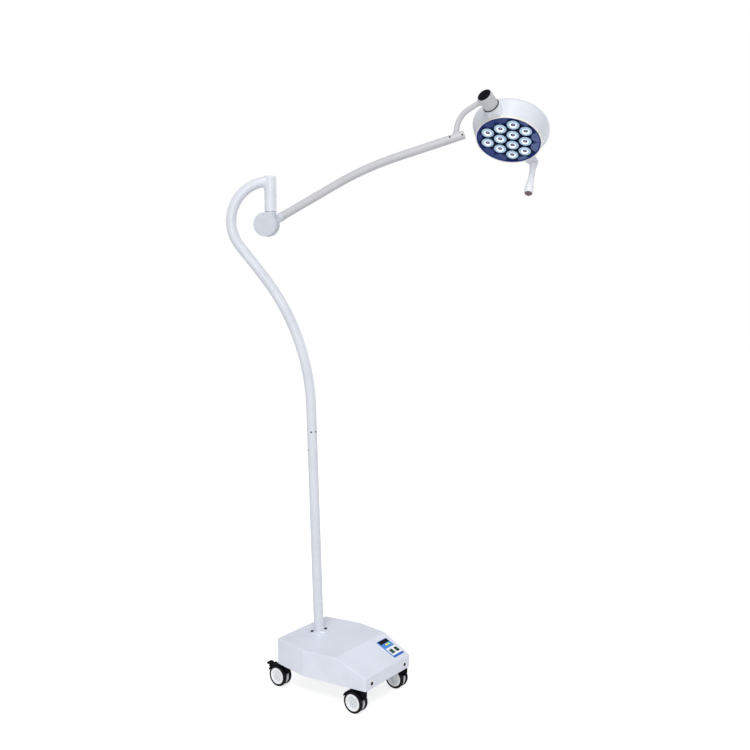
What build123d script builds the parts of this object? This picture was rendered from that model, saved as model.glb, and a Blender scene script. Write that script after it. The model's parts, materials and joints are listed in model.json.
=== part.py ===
from build123d import *
import os
from math import acos, asin, atan2, cos, degrees, hypot, radians, sin, sqrt, tan

# Mobile examination and minor-surgery light: a weighted base on four twin-wheel casters, a two-piece
# mast whose upper tube curls over into a vertical sleeve, a friction elbow, a curved arm, and a round
# twelve-lens LED head that turns on a yoke, a barrel and its own tilt spindle.
#
# Row frame, in millimetres: origin on the floor at the centre of the four caster stems, +X to the
# base's right, -Y towards the sloped control-panel end, +Z up.
#
# Sub-assemblies are drawn in frames of their own and then placed: MAST (X along the mast's bend
# plane), ELBOW (X along the arm, Y along the elbow bolt), YOKE (X along the yoke's plane), BARREL
# (X along the barrel, Z along the yoke's end) and HEAD (X from the barrel to the head's middle, Z from
# the lit face to the back). A caster is drawn about its stem and a wheel about its axle.

# ---------------------------------------------------------------- driving dimensions: base
COVER_BOTTOM = 85.3
COVER_TOP = 178.3
COVER_FRONT_TOP = 129.4
COVER_WALL = 2.0
FRONT_Y, CREASE_Y, MIDDLE_Y, REAR_Y = -190.0, -71.0, 58.0, 202.0
FRONT_HALF, MIDDLE_HALF, REAR_HALF = 127.6, 159.4, 133.6
EDGE_RADIUS = 4.0
CHASSIS_THICKNESS = 4.0
CHASSIS_BOTTOM = COVER_BOTTOM + 0.7
CHASSIS_TOP = CHASSIS_BOTTOM + CHASSIS_THICKNESS
BALLAST_SIZE = (190.0, 126.0, 46.0)
BALLAST_Y = 4.0
SUPPLY_SIZE = (98.0, 84.0, 32.0)
SUPPLY_AT = (-62.0, -120.0)

# ---------------------------------------------------------------- driving dimensions: casters
STEM_X, STEM_Y = 118.0, 172.0
WHEEL_RADIUS = 37.5
WHEEL_WIDTH = 15.0
WHEEL_SPACING = 26.0
CASTER_TRAIL = 32.0
AXLE_RADIUS = 4.0
RUNNING_GAP = 0.05
WEB_THICKNESS = 9.4
HOOD_INNER, HOOD_OUTER, HOOD_WIDTH = 39.5, 42.5, 40.0
CASTERS = {"fl": (-1, -1), "fr": (1, -1), "rl": (-1, 1), "rr": (1, 1)}
PEDAL_PIVOT, PEDAL_RISE = (34.5, 30.0), 10.0

# ---------------------------------------------------------------- driving dimensions: panel, inlet
PANEL_X, PANEL_Y = 86.5, -134.0
PANEL_WIDTH, PANEL_LENGTH, PANEL_THICKNESS = 62.0, 92.0, 1.5
WINDOW_AT, WINDOW_SIZE = (3.0, 34.0), (49.0, 16.0)
BUTTON_X, BUTTON_Y, BUTTON_SIZE = (-8.5, 18.0), -16.0, (15.4, 20.0)
BUTTON_TRAVEL = 1.0
ENTRY_AT = (-72.0, 128.0)
ENTRY_SIZE = (62.0, 30.0)
ROCKER_RADIUS, ROCKER_SLOPE = 9.6, 8.0

# ---------------------------------------------------------------- driving dimensions: mast
MAST_Y = 122.0
MAST_TURN = -53.0
MAST_LEAN = 1.55
MAST_TUBE, MAST_WALL = 17.5, 2.0
FLANGE_RADIUS, FLANGE_THICKNESS, FLANGE_SCREW_CIRCLE = 35.0, 6.0, 27.0
FLANGE_TURN = -25.0
JOINT_HEIGHT = 892.0
BEND_START, BEND_RADIUS = 1003.0, 790.0
LOOP_X, LOOP_Z, LOOP_RADIUS = -157.0, 1649.0, 137.0
SLEEVE_RADIUS, SLEEVE_WALL = 20.5, 3.0
SLEEVE_BOTTOM, SLEEVE_TOP = 1683.0, 1803.5
SPINDLE_RADIUS = 10.0

# ---------------------------------------------------------------- driving dimensions: elbow and arm
ELBOW_TURN = -62.5
ELBOW_HEIGHT = 1638.8
ELBOW_X = -15.0
DISC_RADIUS, DISC_THICKNESS, FRICTION_THICKNESS = 41.0, 22.0, 2.0
ELBOW_BOLT_RADIUS = 6.0
COLLAR_RADIUS = 19.5
ARM_TUBE, ARM_WALL = 14.0, 2.0
ARM_Y = DISC_THICKNESS / 2 + FRICTION_THICKNESS / 2
ARM_SLOPE, ARM_END_SLOPE = 28.6, 16.8
ARM_FIRST_RUN, ARM_SECOND_RUN, ARM_BEND_TANGENT = 392.6, 322.0, 110.0
SOCKET_RADIUS, SOCKET_START, SOCKET_END = 15.6, 48.5, 64.0
ARM_WEB_WIDTH = 27.0
END_BLOCK_RADIUS, END_BLOCK_BACK, END_BLOCK_FRONT = 13.8, 13.0, 28.0
END_SPIGOT_LENGTH = 32.0
YOKE_SEAT = 18.2

# ---------------------------------------------------------------- driving dimensions: yoke, barrel
YOKE_TURN = -72.0
YOKE_TUBE, YOKE_WALL = 9.0, 2.0
YOKE_SPIGOT = 7.0
YOKE_RISE, YOKE_BEND_RADIUS, YOKE_END_SLOPE, YOKE_END_RUN = 0.4, 80.0, 28.8, 66.0
BARREL_TURN = 52.0
BARREL_RADIUS, BARREL_BACK, BARREL_FRONT = 25.5, -15.0, 34.0
BARREL_BOSS_REACH = 29.0
CAP_RADIUS, CAP_DEPTH = 23.0, 3.0
WASHER_RADIUS, WASHER_THICKNESS = 22.5, 2.0
END_SPIGOT = 6.0
SPINDLE_COLLAR, COLLAR_POCKET = 14.0, 15.0
BOSS_FLARE = 40.0

# ---------------------------------------------------------------- driving dimensions: head, handle
HEAD_TILT = 115.9
HEAD_REACH = 179.0
FACE_DROP = 27.0
FACE_RADIUS = 109.5
RING_OUTER, RING_FRONT, RING_BACK = 112.8, 3.0, 3.0
SHELL_FRONT_RADIUS, SHELL_WALL = 112.5, 2.0
FLARE_DEPTH, FLARE_RADIUS = 46.0, 131.0
SHOULDER_RADIUS, SHOULDER_END = 20.0, 76.0
PANEL_FRONT, PANEL_BACK = 1.0, 4.0
LENS_PITCH, LENS_RADIUS, LENS_COUNTS = 49.3, 21.2, (2, 3, 4, 3)
LENS_GRID_TURN, LENS_GRID_AT = -63.5, (-5.0, 6.0)
LENS_CROWN, LENS_BACK = 3.2, 21.0
BOARD_DEPTH, BOARD_RADIUS = 28.0, 98.0
SINK_RADIUS, SINK_FINS, FIN_HEIGHT = 98.0, 11, 22.0
HANDLE_TURN, HANDLE_REACH = -12.0, 144.0
HANDLE_DEPTH = 1.0
HANDLE_LENGTH = 134.0
BRACKET_HEIGHT, BRACKET_HALF_WIDTH = 15.0, 14.0
HANDLE_PIN_RADIUS, HANDLE_PIN_LENGTH = 6.0, 34.0

MIDDLE = (Align.CENTER, Align.CENTER, Align.CENTER)
UPWARD = (Align.CENTER, Align.CENTER, Align.MIN)

parts = {}


# ---------------------------------------------------------------- drawing helpers
def rod(radius, low, high):
    """A cylinder on the Z axis from low to high."""
    return Pos(0, 0, low) * Cylinder(radius, high - low, align=UPWARD)


def ring(outer, inner, low, high):
    """A tube on the Z axis from low to high."""
    return rod(outer, low, high) - rod(inner, low - 1, high + 1)


def block(size, low_centre):
    """A box standing on the point low_centre."""
    return Pos(*low_centre) * Box(*size, align=UPWARD)


def along_x(shape):
    """Lay a shape drawn about Z along X, its top towards +X."""
    return Rot(0, 90, 0) * shape


def along_y(shape):
    """Lay a shape drawn about Z along Y, its top towards +Y."""
    return Rot(-90, 0, 0) * shape


def on_xz(x, z):
    return Vector(x, 0, z)


def arc_xz(centre, radius, first, last):
    """An arc in the XZ plane about centre, between two angles in degrees."""
    angles = (first, (first + last) / 2, last)
    return ThreePointArc(*[on_xz(centre[0] + radius * cos(radians(a)), centre[1] + radius * sin(radians(a)))
                           for a in angles])


def bent_tube(path, outer, wall):
    """Sweep a round tube, or a solid rod when wall is 0, along a path."""
    section = Circle(outer) - Circle(outer - wall) if wall else Circle(outer)
    return sweep(Plane(origin=path @ 0, z_dir=path % 0) * section, path=path)


def revolved(points):
    """A solid of revolution about Z from a closed outline of (radius, height) points."""
    outline = make_face(Polyline([on_xz(r, z) for r, z in points], close=True))
    return revolve(outline, Axis.Z)


def hex_nut(across_flats, low, high):
    sketch = RegularPolygon(across_flats / 2, 6, major_radius=False)
    return Pos(0, 0, low) * extrude(sketch, high - low)


def cap_screw(radius, length, head_radius, head_height):
    """A screw pointing down -Z, its head standing on z = 0, with a hexagon socket."""
    head = rod(head_radius, 0, head_height)
    head = chamfer(head.edges().sort_by(Axis.Z)[-1], head_height * 0.2)
    socket = hex_nut(radius * 1.6, head_height * 0.4, head_height + 1)
    return head + rod(radius, -length, 0) - socket


def cut_all(shape, tools):
    for tool in tools:
        shape = shape - tool
    return shape


def biggest(shape):
    """The largest solid of a shape that a cut has left in pieces."""
    return shape.solids().sort_by(SortBy.VOLUME)[-1]


# ---------------------------------------------------------------- frames
SLOPE = degrees(atan2(COVER_TOP - COVER_FRONT_TOP, CREASE_Y - FRONT_Y))
SLOPE_NORMAL = Vector(0, -sin(radians(SLOPE)), cos(radians(SLOPE)))
PANEL_Z = COVER_FRONT_TOP + (PANEL_Y - FRONT_Y) * tan(radians(SLOPE))
PANEL = Plane(origin=(PANEL_X, PANEL_Y, PANEL_Z), x_dir=(1, 0, 0), z_dir=SLOPE_NORMAL).location
FLANGE_TOP = COVER_TOP + FLANGE_THICKNESS
MAST = Pos(0, MAST_Y, 0) * Rot(0, 0, MAST_TURN)
SLEEVE = MAST * Pos(LOOP_X, 0, 0)
ELBOW = Pos(SLEEVE.position.X, SLEEVE.position.Y, ELBOW_HEIGHT) * Rot(0, 0, ELBOW_TURN)


def arm_point(distance):
    """The point on the arm's second straight run, in the ELBOW frame, a distance past its bend corner."""
    corner_x = ELBOW_X + ARM_FIRST_RUN * cos(radians(ARM_SLOPE))
    corner_z = ARM_FIRST_RUN * sin(radians(ARM_SLOPE))
    return Vector(corner_x + distance * cos(radians(ARM_END_SLOPE)), ARM_Y,
                  corner_z + distance * sin(radians(ARM_END_SLOPE)))


YOKE_ORIGIN = (ELBOW * Pos(arm_point(ARM_SECOND_RUN))).position
YOKE = Pos(YOKE_ORIGIN) * Rot(0, 0, YOKE_TURN)
YOKE_BEND_TURN = 90 - YOKE_END_SLOPE
YOKE_BEND_LOW = YOKE_SEAT + YOKE_RISE
YOKE_BEND_END = (YOKE_BEND_RADIUS * (1 - cos(radians(YOKE_BEND_TURN))),
                 YOKE_BEND_LOW + YOKE_BEND_RADIUS * sin(radians(YOKE_BEND_TURN)))
BARREL_IN_YOKE = on_xz(YOKE_BEND_END[0] + YOKE_END_RUN * cos(radians(YOKE_END_SLOPE)),
                       YOKE_BEND_END[1] + YOKE_END_RUN * sin(radians(YOKE_END_SLOPE)))
# Turn the yoke's frame until Z lies along the yoke's end, then turn about it until X is the barrel.
BARREL = YOKE * Pos(BARREL_IN_YOKE) * Rot(0, 90 - YOKE_END_SLOPE, 0) * Rot(0, 0, BARREL_TURN)
# The head's Z points away from its lit face, which looks HEAD_TILT degrees round from the yoke's end.
HEAD = BARREL * Rot(180 + HEAD_TILT, 0, 0)
HEAD_MIDDLE = HEAD * Pos(HEAD_REACH, 0, -FACE_DROP)
HANDLE = HEAD_MIDDLE * Rot(0, 0, HANDLE_TURN) * Pos(HANDLE_REACH, 0, HANDLE_DEPTH)


# ---------------------------------------------------------------- base
def base_outline(inset):
    corners = [(FRONT_HALF, FRONT_Y), (MIDDLE_HALF, MIDDLE_Y), (REAR_HALF, REAR_Y)]
    corners += [(-x, y) for x, y in reversed(corners)]
    face = make_face(Polyline(corners, close=True))
    return offset(face, amount=-inset, kind=Kind.INTERSECTION) if inset else face


def base_block(inset, low, edge_radius):
    """The cover's outer or inner form: six-sided, flat on top, sloping down to a low front."""
    form = Pos(0, 0, low) * extrude(base_outline(inset), COVER_TOP - inset - low)
    slope = Plane(origin=(0, FRONT_Y, COVER_FRONT_TOP), x_dir=(1, 0, 0), z_dir=SLOPE_NORMAL).location
    form = form - slope * Pos(0, 0, -inset) * Box(600, 600, 300, align=UPWARD)
    uprights = form.edges().filter_by(Axis.Z)
    form = fillet(uprights, edge_radius)
    upper = [e for e in form.edges() if e.center().Z > COVER_FRONT_TOP - inset - 8 and abs((e % 0.5).Z) < 0.9]
    return fillet(upper, edge_radius * 0.75)


def screw_places():
    """Where the cover's M6 screws go in: two in the front face and two in the rear face."""
    front = [Pos(x, FRONT_Y, 104) * Rot(90, 0, 0) for x in (-95, 95)]
    rear = [Pos(x, REAR_Y, 104) * Rot(-90, 0, 0) for x in (-112, 112)]
    return front + rear


def flange_places():
    """The flange's four M6 screws."""
    turns = [Rot(0, 0, FLANGE_TURN + angle) * Pos(FLANGE_SCREW_CIRCLE, 0, 0) for angle in (0, 90, 180, 270)]
    return [Pos(0, MAST_Y, FLANGE_TOP) * turn for turn in turns]


def make_base():
    cover = base_block(0, COVER_BOTTOM, EDGE_RADIUS)
    cover = cover - base_block(COVER_WALL, COVER_BOTTOM - 10, EDGE_RADIUS - COVER_WALL)
    window = PANEL * Box(PANEL_WIDTH - 6, PANEL_LENGTH - 6, 20, align=MIDDLE)
    entry = Pos(ENTRY_AT[0], REAR_Y, ENTRY_AT[1]) * Box(ENTRY_SIZE[0] - 6, 20, ENTRY_SIZE[1] - 6)
    cable_hole = Pos(0, MAST_Y, 0) * rod(10, COVER_TOP - 20, COVER_TOP + 5)
    screws = [place * rod(3.0, -20, 5) for place in screw_places() + flange_places()]
    parts["base_cover"] = cut_all(cover, [window, entry, cable_hole] + screws)

    chassis = Pos(0, 0, CHASSIS_BOTTOM) * extrude(base_outline(COVER_WALL + 0.5), CHASSIS_THICKNESS)
    chassis = fillet(chassis.edges().filter_by(Axis.Z), 4)
    stems = [Pos(sx * STEM_X, sy * STEM_Y, 0) * rod(5, 70, 120) for sx, sy in CASTERS.values()]
    parts["chassis_plate"] = cut_all(chassis, stems + [Pos(0, MAST_Y, 0) * rod(10, 70, 120)])

    ballast = block(BALLAST_SIZE, (0, BALLAST_Y, CHASSIS_TOP))
    parts["ballast_block"] = chamfer(ballast.edges().group_by(Axis.Z)[-1], 4)
    supply = block(SUPPLY_SIZE, (*SUPPLY_AT, CHASSIS_TOP))
    slots = [Pos(SUPPLY_AT[0] + x, SUPPLY_AT[1], CHASSIS_TOP + SUPPLY_SIZE[2]) * Box(3, 60, 3)
             for x in (-36, -24, -12, 0, 12, 24, 36)]
    parts["power_supply"] = cut_all(supply, slots)

    pedestal = ring(30, 26, CHASSIS_TOP, COVER_TOP - COVER_WALL)
    pedestal = pedestal + ring(FLANGE_RADIUS, 10, COVER_TOP - COVER_WALL - 8, COVER_TOP - COVER_WALL)
    pedestal = pedestal + ring(FLANGE_RADIUS, 26, CHASSIS_TOP, CHASSIS_TOP + 6)
    pedestal = Pos(0, MAST_Y, 0) * pedestal
    parts["mast_pedestal"] = cut_all(pedestal, [place * rod(3.0, -20, 5) for place in flange_places()])

    cover_screw = cap_screw(3.0, 10, 6.0, 2.6)
    flange_screw = cap_screw(3.0, 15, 5.5, 3.0)
    parts["base_screws"] = Compound([place * cover_screw for place in screw_places()]
                                    + [place * flange_screw for place in flange_places()])


# ---------------------------------------------------------------- control panel and mains entry
def rounded_plate(width, length, low, high, radius):
    return Pos(0, 0, low) * extrude(RectangleRounded(width, length, radius), high - low)


def make_panel():
    overlay = rounded_plate(PANEL_WIDTH, PANEL_LENGTH, 0, PANEL_THICKNESS, 3)
    holes = [Pos(*WINDOW_AT, 0) * rounded_plate(*WINDOW_SIZE, -1, 3, 1)]
    for x in BUTTON_X:
        holes.append(Pos(x, BUTTON_Y, 0) * rounded_plate(BUTTON_SIZE[0] + 0.4, BUTTON_SIZE[1] + 0.4, -1, 3, 2.7))
    parts["panel_overlay"] = PANEL * cut_all(overlay, holes)
    window = rounded_plate(*WINDOW_SIZE, 0, PANEL_THICKNESS, 1)
    parts["display_window"] = PANEL * Pos(*WINDOW_AT, 0) * window

    board = Pos(0, 0, -9.6) * Box(50, 74, 1.6, align=UPWARD)
    board = board + block((44, 12, 5), (*WINDOW_AT, -8))
    for x in BUTTON_X:
        board = board + Pos(x, BUTTON_Y, 0) * (block((8, 8, 3), (0, 0, -8)) + rod(1.8, -5, -4.2))
    for y in (-34, 10):
        board = board + Pos(-22, y, 0) * rod(2.5, -8, 0)
    parts["control_board"] = PANEL * board

    button = rounded_plate(*BUTTON_SIZE, -1.2, 2.7, 2.5)
    button = fillet(button.edges().group_by(Axis.Z)[-1], 0.8)
    button = button + rounded_plate(BUTTON_SIZE[0] + 3, BUTTON_SIZE[1] + 3, -1.2, -RUNNING_GAP, 3.5)
    button = button + rod(2.0, -3.0, -1.2)
    for name, x in zip(("button_dimmer", "button_brighter"), BUTTON_X):
        parts[name] = PANEL * Pos(x, BUTTON_Y, 0) * button


INLET_X, ROCKER_X = -13.0, 18.0
ENTRY = Pos(ENTRY_AT[0], REAR_Y, ENTRY_AT[1]) * Rot(-90, 0, 0)
ROCKER_DEPTH = -3.0


def make_power_entry():
    """The rear module: an IEC C14 inlet beside a rocker switch, drawn with Z out of the rear wall."""
    body = rounded_plate(*ENTRY_SIZE, 0, 2.5, 3)
    body = body + rounded_plate(ENTRY_SIZE[0] - 6.2, ENTRY_SIZE[1] - 6.2, -27, 0.5, 1)
    shroud = Pos(INLET_X, 0, 0) * rounded_plate(24.6, 17.4, -17, 3, 3)
    pocket = Pos(ROCKER_X, 0, 0) * Box(13.4, 20.6, 34)
    pocket = pocket & Pos(0, 0, -15) * Box(200, 200, 40, align=UPWARD)
    body = body - shroud - pocket
    pins = [Pos(INLET_X + x, y, -17) * Box(2, 4, 13, align=UPWARD) for x, y in ((-7, 2), (7, 2), (0, -2))]
    axle_holes = Pos(ROCKER_X, 0, ROCKER_DEPTH) * along_x(rod(1.5, -8, 8))
    parts["power_entry"] = ENTRY * (body - axle_holes)
    parts["inlet_pins"] = Compound([ENTRY * pin for pin in pins])
    roof = Pos(0, 0, 0) * along_x(rod(ROCKER_RADIUS, -6.4, 6.4))
    for side in (-1, 1):
        roof = roof - Rot(side * ROCKER_SLOPE, 0, 0) * Pos(0, 0, 7.0) * Box(40, 40, 20, align=UPWARD)
    roof = roof + along_x(rod(1.45, -7.6, 7.6))
    parts["power_rocker"] = ENTRY * Pos(ROCKER_X, 0, ROCKER_DEPTH) * Rot(ROCKER_SLOPE, 0, 0) * roof


# ---------------------------------------------------------------- casters
WHEEL_SIDES = {"outer": 1, "inner": -1}
AXLE_Y, AXLE_Z = CASTER_TRAIL, WHEEL_RADIUS
HOOD_TOP = 83.5
STEM_LOW = 66.0


def wheel_profile():
    """Half of a wheel's section as (radius, half width) points: a crowned tread and dished faces."""
    half = WHEEL_WIDTH / 2
    return [(AXLE_RADIUS + RUNNING_GAP, -half), (10, -half), (12, -half + 1.5), (28, -half + 1.5),
            (30, -half), (34.5, -half), (36.7, -half + 1.6), (37.3, -half + 3.6), (WHEEL_RADIUS, -half + 5.5)]


def wheel():
    """One wheel about Z: tread, side walls and hub face, the same on both sides."""
    side = wheel_profile()
    return revolved(side + [(r, -z) for r, z in reversed(side)])


def caster_housing(braked):
    """The swivelling fork, drawn about its stem with the wheels trailing towards +Y."""
    axle_at = Pos(0, AXLE_Y, AXLE_Z)
    clearance = axle_at * along_x(rod(HOOD_INNER, -40, 40))
    hood = axle_at * along_x(ring(HOOD_OUTER, HOOD_INNER, -HOOD_WIDTH / 2, HOOD_WIDTH / 2))
    above = Pos(0, AXLE_Y + 19, AXLE_Z + 14) * Box(60, 38, 60, align=UPWARD)
    above = above + Pos(0, AXLE_Y - 30, AXLE_Z + 27) * Box(60, 60, 60, align=UPWARD)
    hood = hood & above
    boss = rod(13, 62, HOOD_TOP) - clearance
    web = axle_at * along_x(rod(15, -WEB_THICKNESS / 2, WEB_THICKNESS / 2))
    spine = make_face(Polyline([(-9, 56), (AXLE_Y - 9, AXLE_Z - 11), (AXLE_Y + 12, AXLE_Z + 4),
                                (AXLE_Y + 26, AXLE_Z + 31), (AXLE_Y + 12, AXLE_Z + 39.8), (-9, 72)], close=True))
    web = web + extrude(Plane.YZ * spine, WEB_THICKNESS / 2, both=True)
    housing = hood + boss + web
    if braked:
        lug_at = Pos(0, AXLE_Y + PEDAL_PIVOT[0], AXLE_Z + PEDAL_PIVOT[1])
        for x in (-14, 14):
            lug = lug_at * Pos(x, 0, 0) * along_x(rod(4, -2.5, 2.5))
            foot = lug_at * Pos(x, 0, 0) * Rot(45, 0, 0) * Pos(0, 0, -3) * Box(5, 8, 6)
            housing = housing + (lug + foot - clearance)
        housing = housing - lug_at * along_x(rod(2, -20, 20)) - lug_at * along_x(rod(5.2, -11.5, 11.5))
    stem_hole = rod(4 + RUNNING_GAP, STEM_LOW - 1, 90)
    axle_hole = axle_at * along_x(rod(AXLE_RADIUS, -40, 40))
    return housing - stem_hole - axle_hole


def caster_axle():
    reach = WHEEL_SPACING / 2 + WHEEL_WIDTH / 2 - 1.0
    return Pos(0, AXLE_Y, AXLE_Z) * along_x(rod(AXLE_RADIUS, -reach, reach))


def brake_pedal():
    """The foot brake, about its pivot: a barrel between the lugs and a flared tab sloping up and back."""
    pin = along_x(rod(2 - RUNNING_GAP, -16.5, 16.5))
    barrel = along_x(rod(4.6, -11, 11))
    tab = make_face(Polyline([(-8, 0), (-14, 16), (-10, 22), (10, 22), (14, 16), (8, 0)], close=True))
    tab = Rot(PEDAL_RISE, 0, 0) * Pos(0, 0, -2) * extrude(tab, 4)
    return pin + barrel + tab


def make_casters():
    stem = rod(4, STEM_LOW, HOOD_TOP + 0.3) + rod(9, HOOD_TOP + 0.3, CHASSIS_BOTTOM) + rod(5, CHASSIS_BOTTOM, 102)
    nut = hex_nut(16, CHASSIS_TOP, CHASSIS_TOP + 7) - rod(5, 80, 120)
    stems = []
    for name, (sx, sy) in CASTERS.items():
        at = Pos(sx * STEM_X, sy * STEM_Y, 0)
        stems += [at * stem, at * nut]
        parts[f"caster_{name}_fork"] = Compound([at * caster_housing(sy > 0), at * caster_axle()])
        for side, direction in WHEEL_SIDES.items():
            wheel_at = Pos(sx * direction * WHEEL_SPACING / 2, AXLE_Y, AXLE_Z)
            parts[f"caster_{name}_wheel_{side}"] = at * wheel_at * along_x(wheel())
        if sy > 0:
            pivot = Pos(0, AXLE_Y + PEDAL_PIVOT[0], AXLE_Z + PEDAL_PIVOT[1])
            parts[f"caster_{name}_brake"] = at * pivot * brake_pedal()
    parts["caster_stems"] = Compound(stems)


# ---------------------------------------------------------------- mast
def lean_point(height):
    """The mast's centre at a height, in the MAST frame."""
    return on_xz(-(height - FLANGE_TOP) * tan(radians(MAST_LEAN)), height)


def lean_frame(height):
    """The MAST-frame location on the mast's centre line, Z along the leaning tube."""
    return Pos(lean_point(height)) * Rot(0, -MAST_LEAN, 0)


def upper_tube_path():
    """Straight out of the joint, a long bend back, a short straight and the loop over to the sleeve."""
    start, bend = lean_point(JOINT_HEIGHT), lean_point(BEND_START)
    bend_centre = (bend.X - BEND_RADIUS * cos(radians(MAST_LEAN)), bend.Z - BEND_RADIUS * sin(radians(MAST_LEAN)))
    dx, dz = LOOP_X - bend_centre[0], LOOP_Z - bend_centre[1]
    turn = degrees(atan2(dz, dx)) - degrees(acos((BEND_RADIUS + LOOP_RADIUS) / hypot(dx, dz)))
    long_bend = arc_xz(bend_centre, BEND_RADIUS, MAST_LEAN, turn)
    loop = arc_xz((LOOP_X, LOOP_Z), LOOP_RADIUS, 180 + turn, 90)
    return Wire([Line(start, bend), long_bend, Line(long_bend @ 1, loop @ 0), loop])


SET_SCREWS = ((22, 210 - MAST_TURN), (22, 270 - MAST_TURN), (-44, 150 - MAST_TURN))


def make_mast():
    length = (JOINT_HEIGHT - FLANGE_TOP) / cos(radians(MAST_LEAN))
    foot = lean_frame(FLANGE_TOP)
    bore = MAST_TUBE - MAST_WALL
    flange = rod(FLANGE_RADIUS, COVER_TOP, FLANGE_TOP)
    flange = chamfer(flange.edges().sort_by(Axis.Z)[-1], 1.2)
    spigot = rod(bore - 0.02, 0, 60)
    spigot = (foot * Pos(0, 0, -2) * spigot) & rod(80, FLANGE_TOP, 400)
    flange = MAST * (flange + spigot) - Pos(0, MAST_Y, 0) * rod(10, 150, 260)
    parts["mast_flange"] = cut_all(flange, [place * rod(3.0, -20, 5) for place in flange_places()])

    lower = foot * ring(MAST_TUBE, bore, -4, length) & rod(80, FLANGE_TOP, 2000)
    upper = bent_tube(upper_tube_path(), MAST_TUBE, MAST_WALL)
    joint = lean_frame(JOINT_HEIGHT)
    coupling = joint * ring(bore - 0.02, bore - 4, -70, 70)
    sleeve_shadow = Pos(LOOP_X, 0, 0) * rod(SLEEVE_RADIUS, SLEEVE_BOTTOM, SLEEVE_TOP + 20)
    upper = biggest(upper - sleeve_shadow)
    screws = []
    for height, angle in SET_SCREWS:
        at = joint * Pos(0, 0, height) * Rot(0, 0, angle) * Rot(0, 90, 0)
        screw = rod(3, bore - 4, MAST_TUBE + 0.6) - hex_nut(3, MAST_TUBE - 1.5, MAST_TUBE + 1)
        hole = at * rod(3, bore - 6, MAST_TUBE + 5)
        screws.append(MAST * at * screw)
        coupling = coupling - hole
        if height > 0:
            upper = upper - hole
        else:
            lower = lower - hole
    parts["mast_lower_tube"] = MAST * lower
    parts["mast_joint_spigot"] = MAST * coupling
    parts["mast_upper_tube"] = MAST * upper
    parts["mast_set_screws"] = Compound(screws)

    sleeve = rod(SLEEVE_RADIUS, SLEEVE_BOTTOM, SLEEVE_TOP)
    sleeve = fillet(sleeve.edges().sort_by(Axis.Z)[-1], 6)
    sleeve_bore = SLEEVE_RADIUS - SLEEVE_WALL
    parts["swivel_sleeve"] = SLEEVE * (sleeve - rod(sleeve_bore, SLEEVE_BOTTOM - 1, SLEEVE_TOP - 8))
    bush = ring(sleeve_bore, SPINDLE_RADIUS + RUNNING_GAP, 0, 20)
    parts["swivel_bushes"] = Compound([SLEEVE * Pos(0, 0, z) * bush for z in BUSH_HEIGHTS])


BUSH_HEIGHTS = (SLEEVE_BOTTOM + 0.5, SLEEVE_BOTTOM + 68)
SPINDLE_TOP = SLEEVE_BOTTOM + 100


# ---------------------------------------------------------------- elbow
def disc(low, high):
    """One of the elbow's discs, its axis along Y through the elbow bolt."""
    shape = along_y(rod(DISC_RADIUS, low, high))
    return Pos(ELBOW_X, 0, 0) * shape


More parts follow.
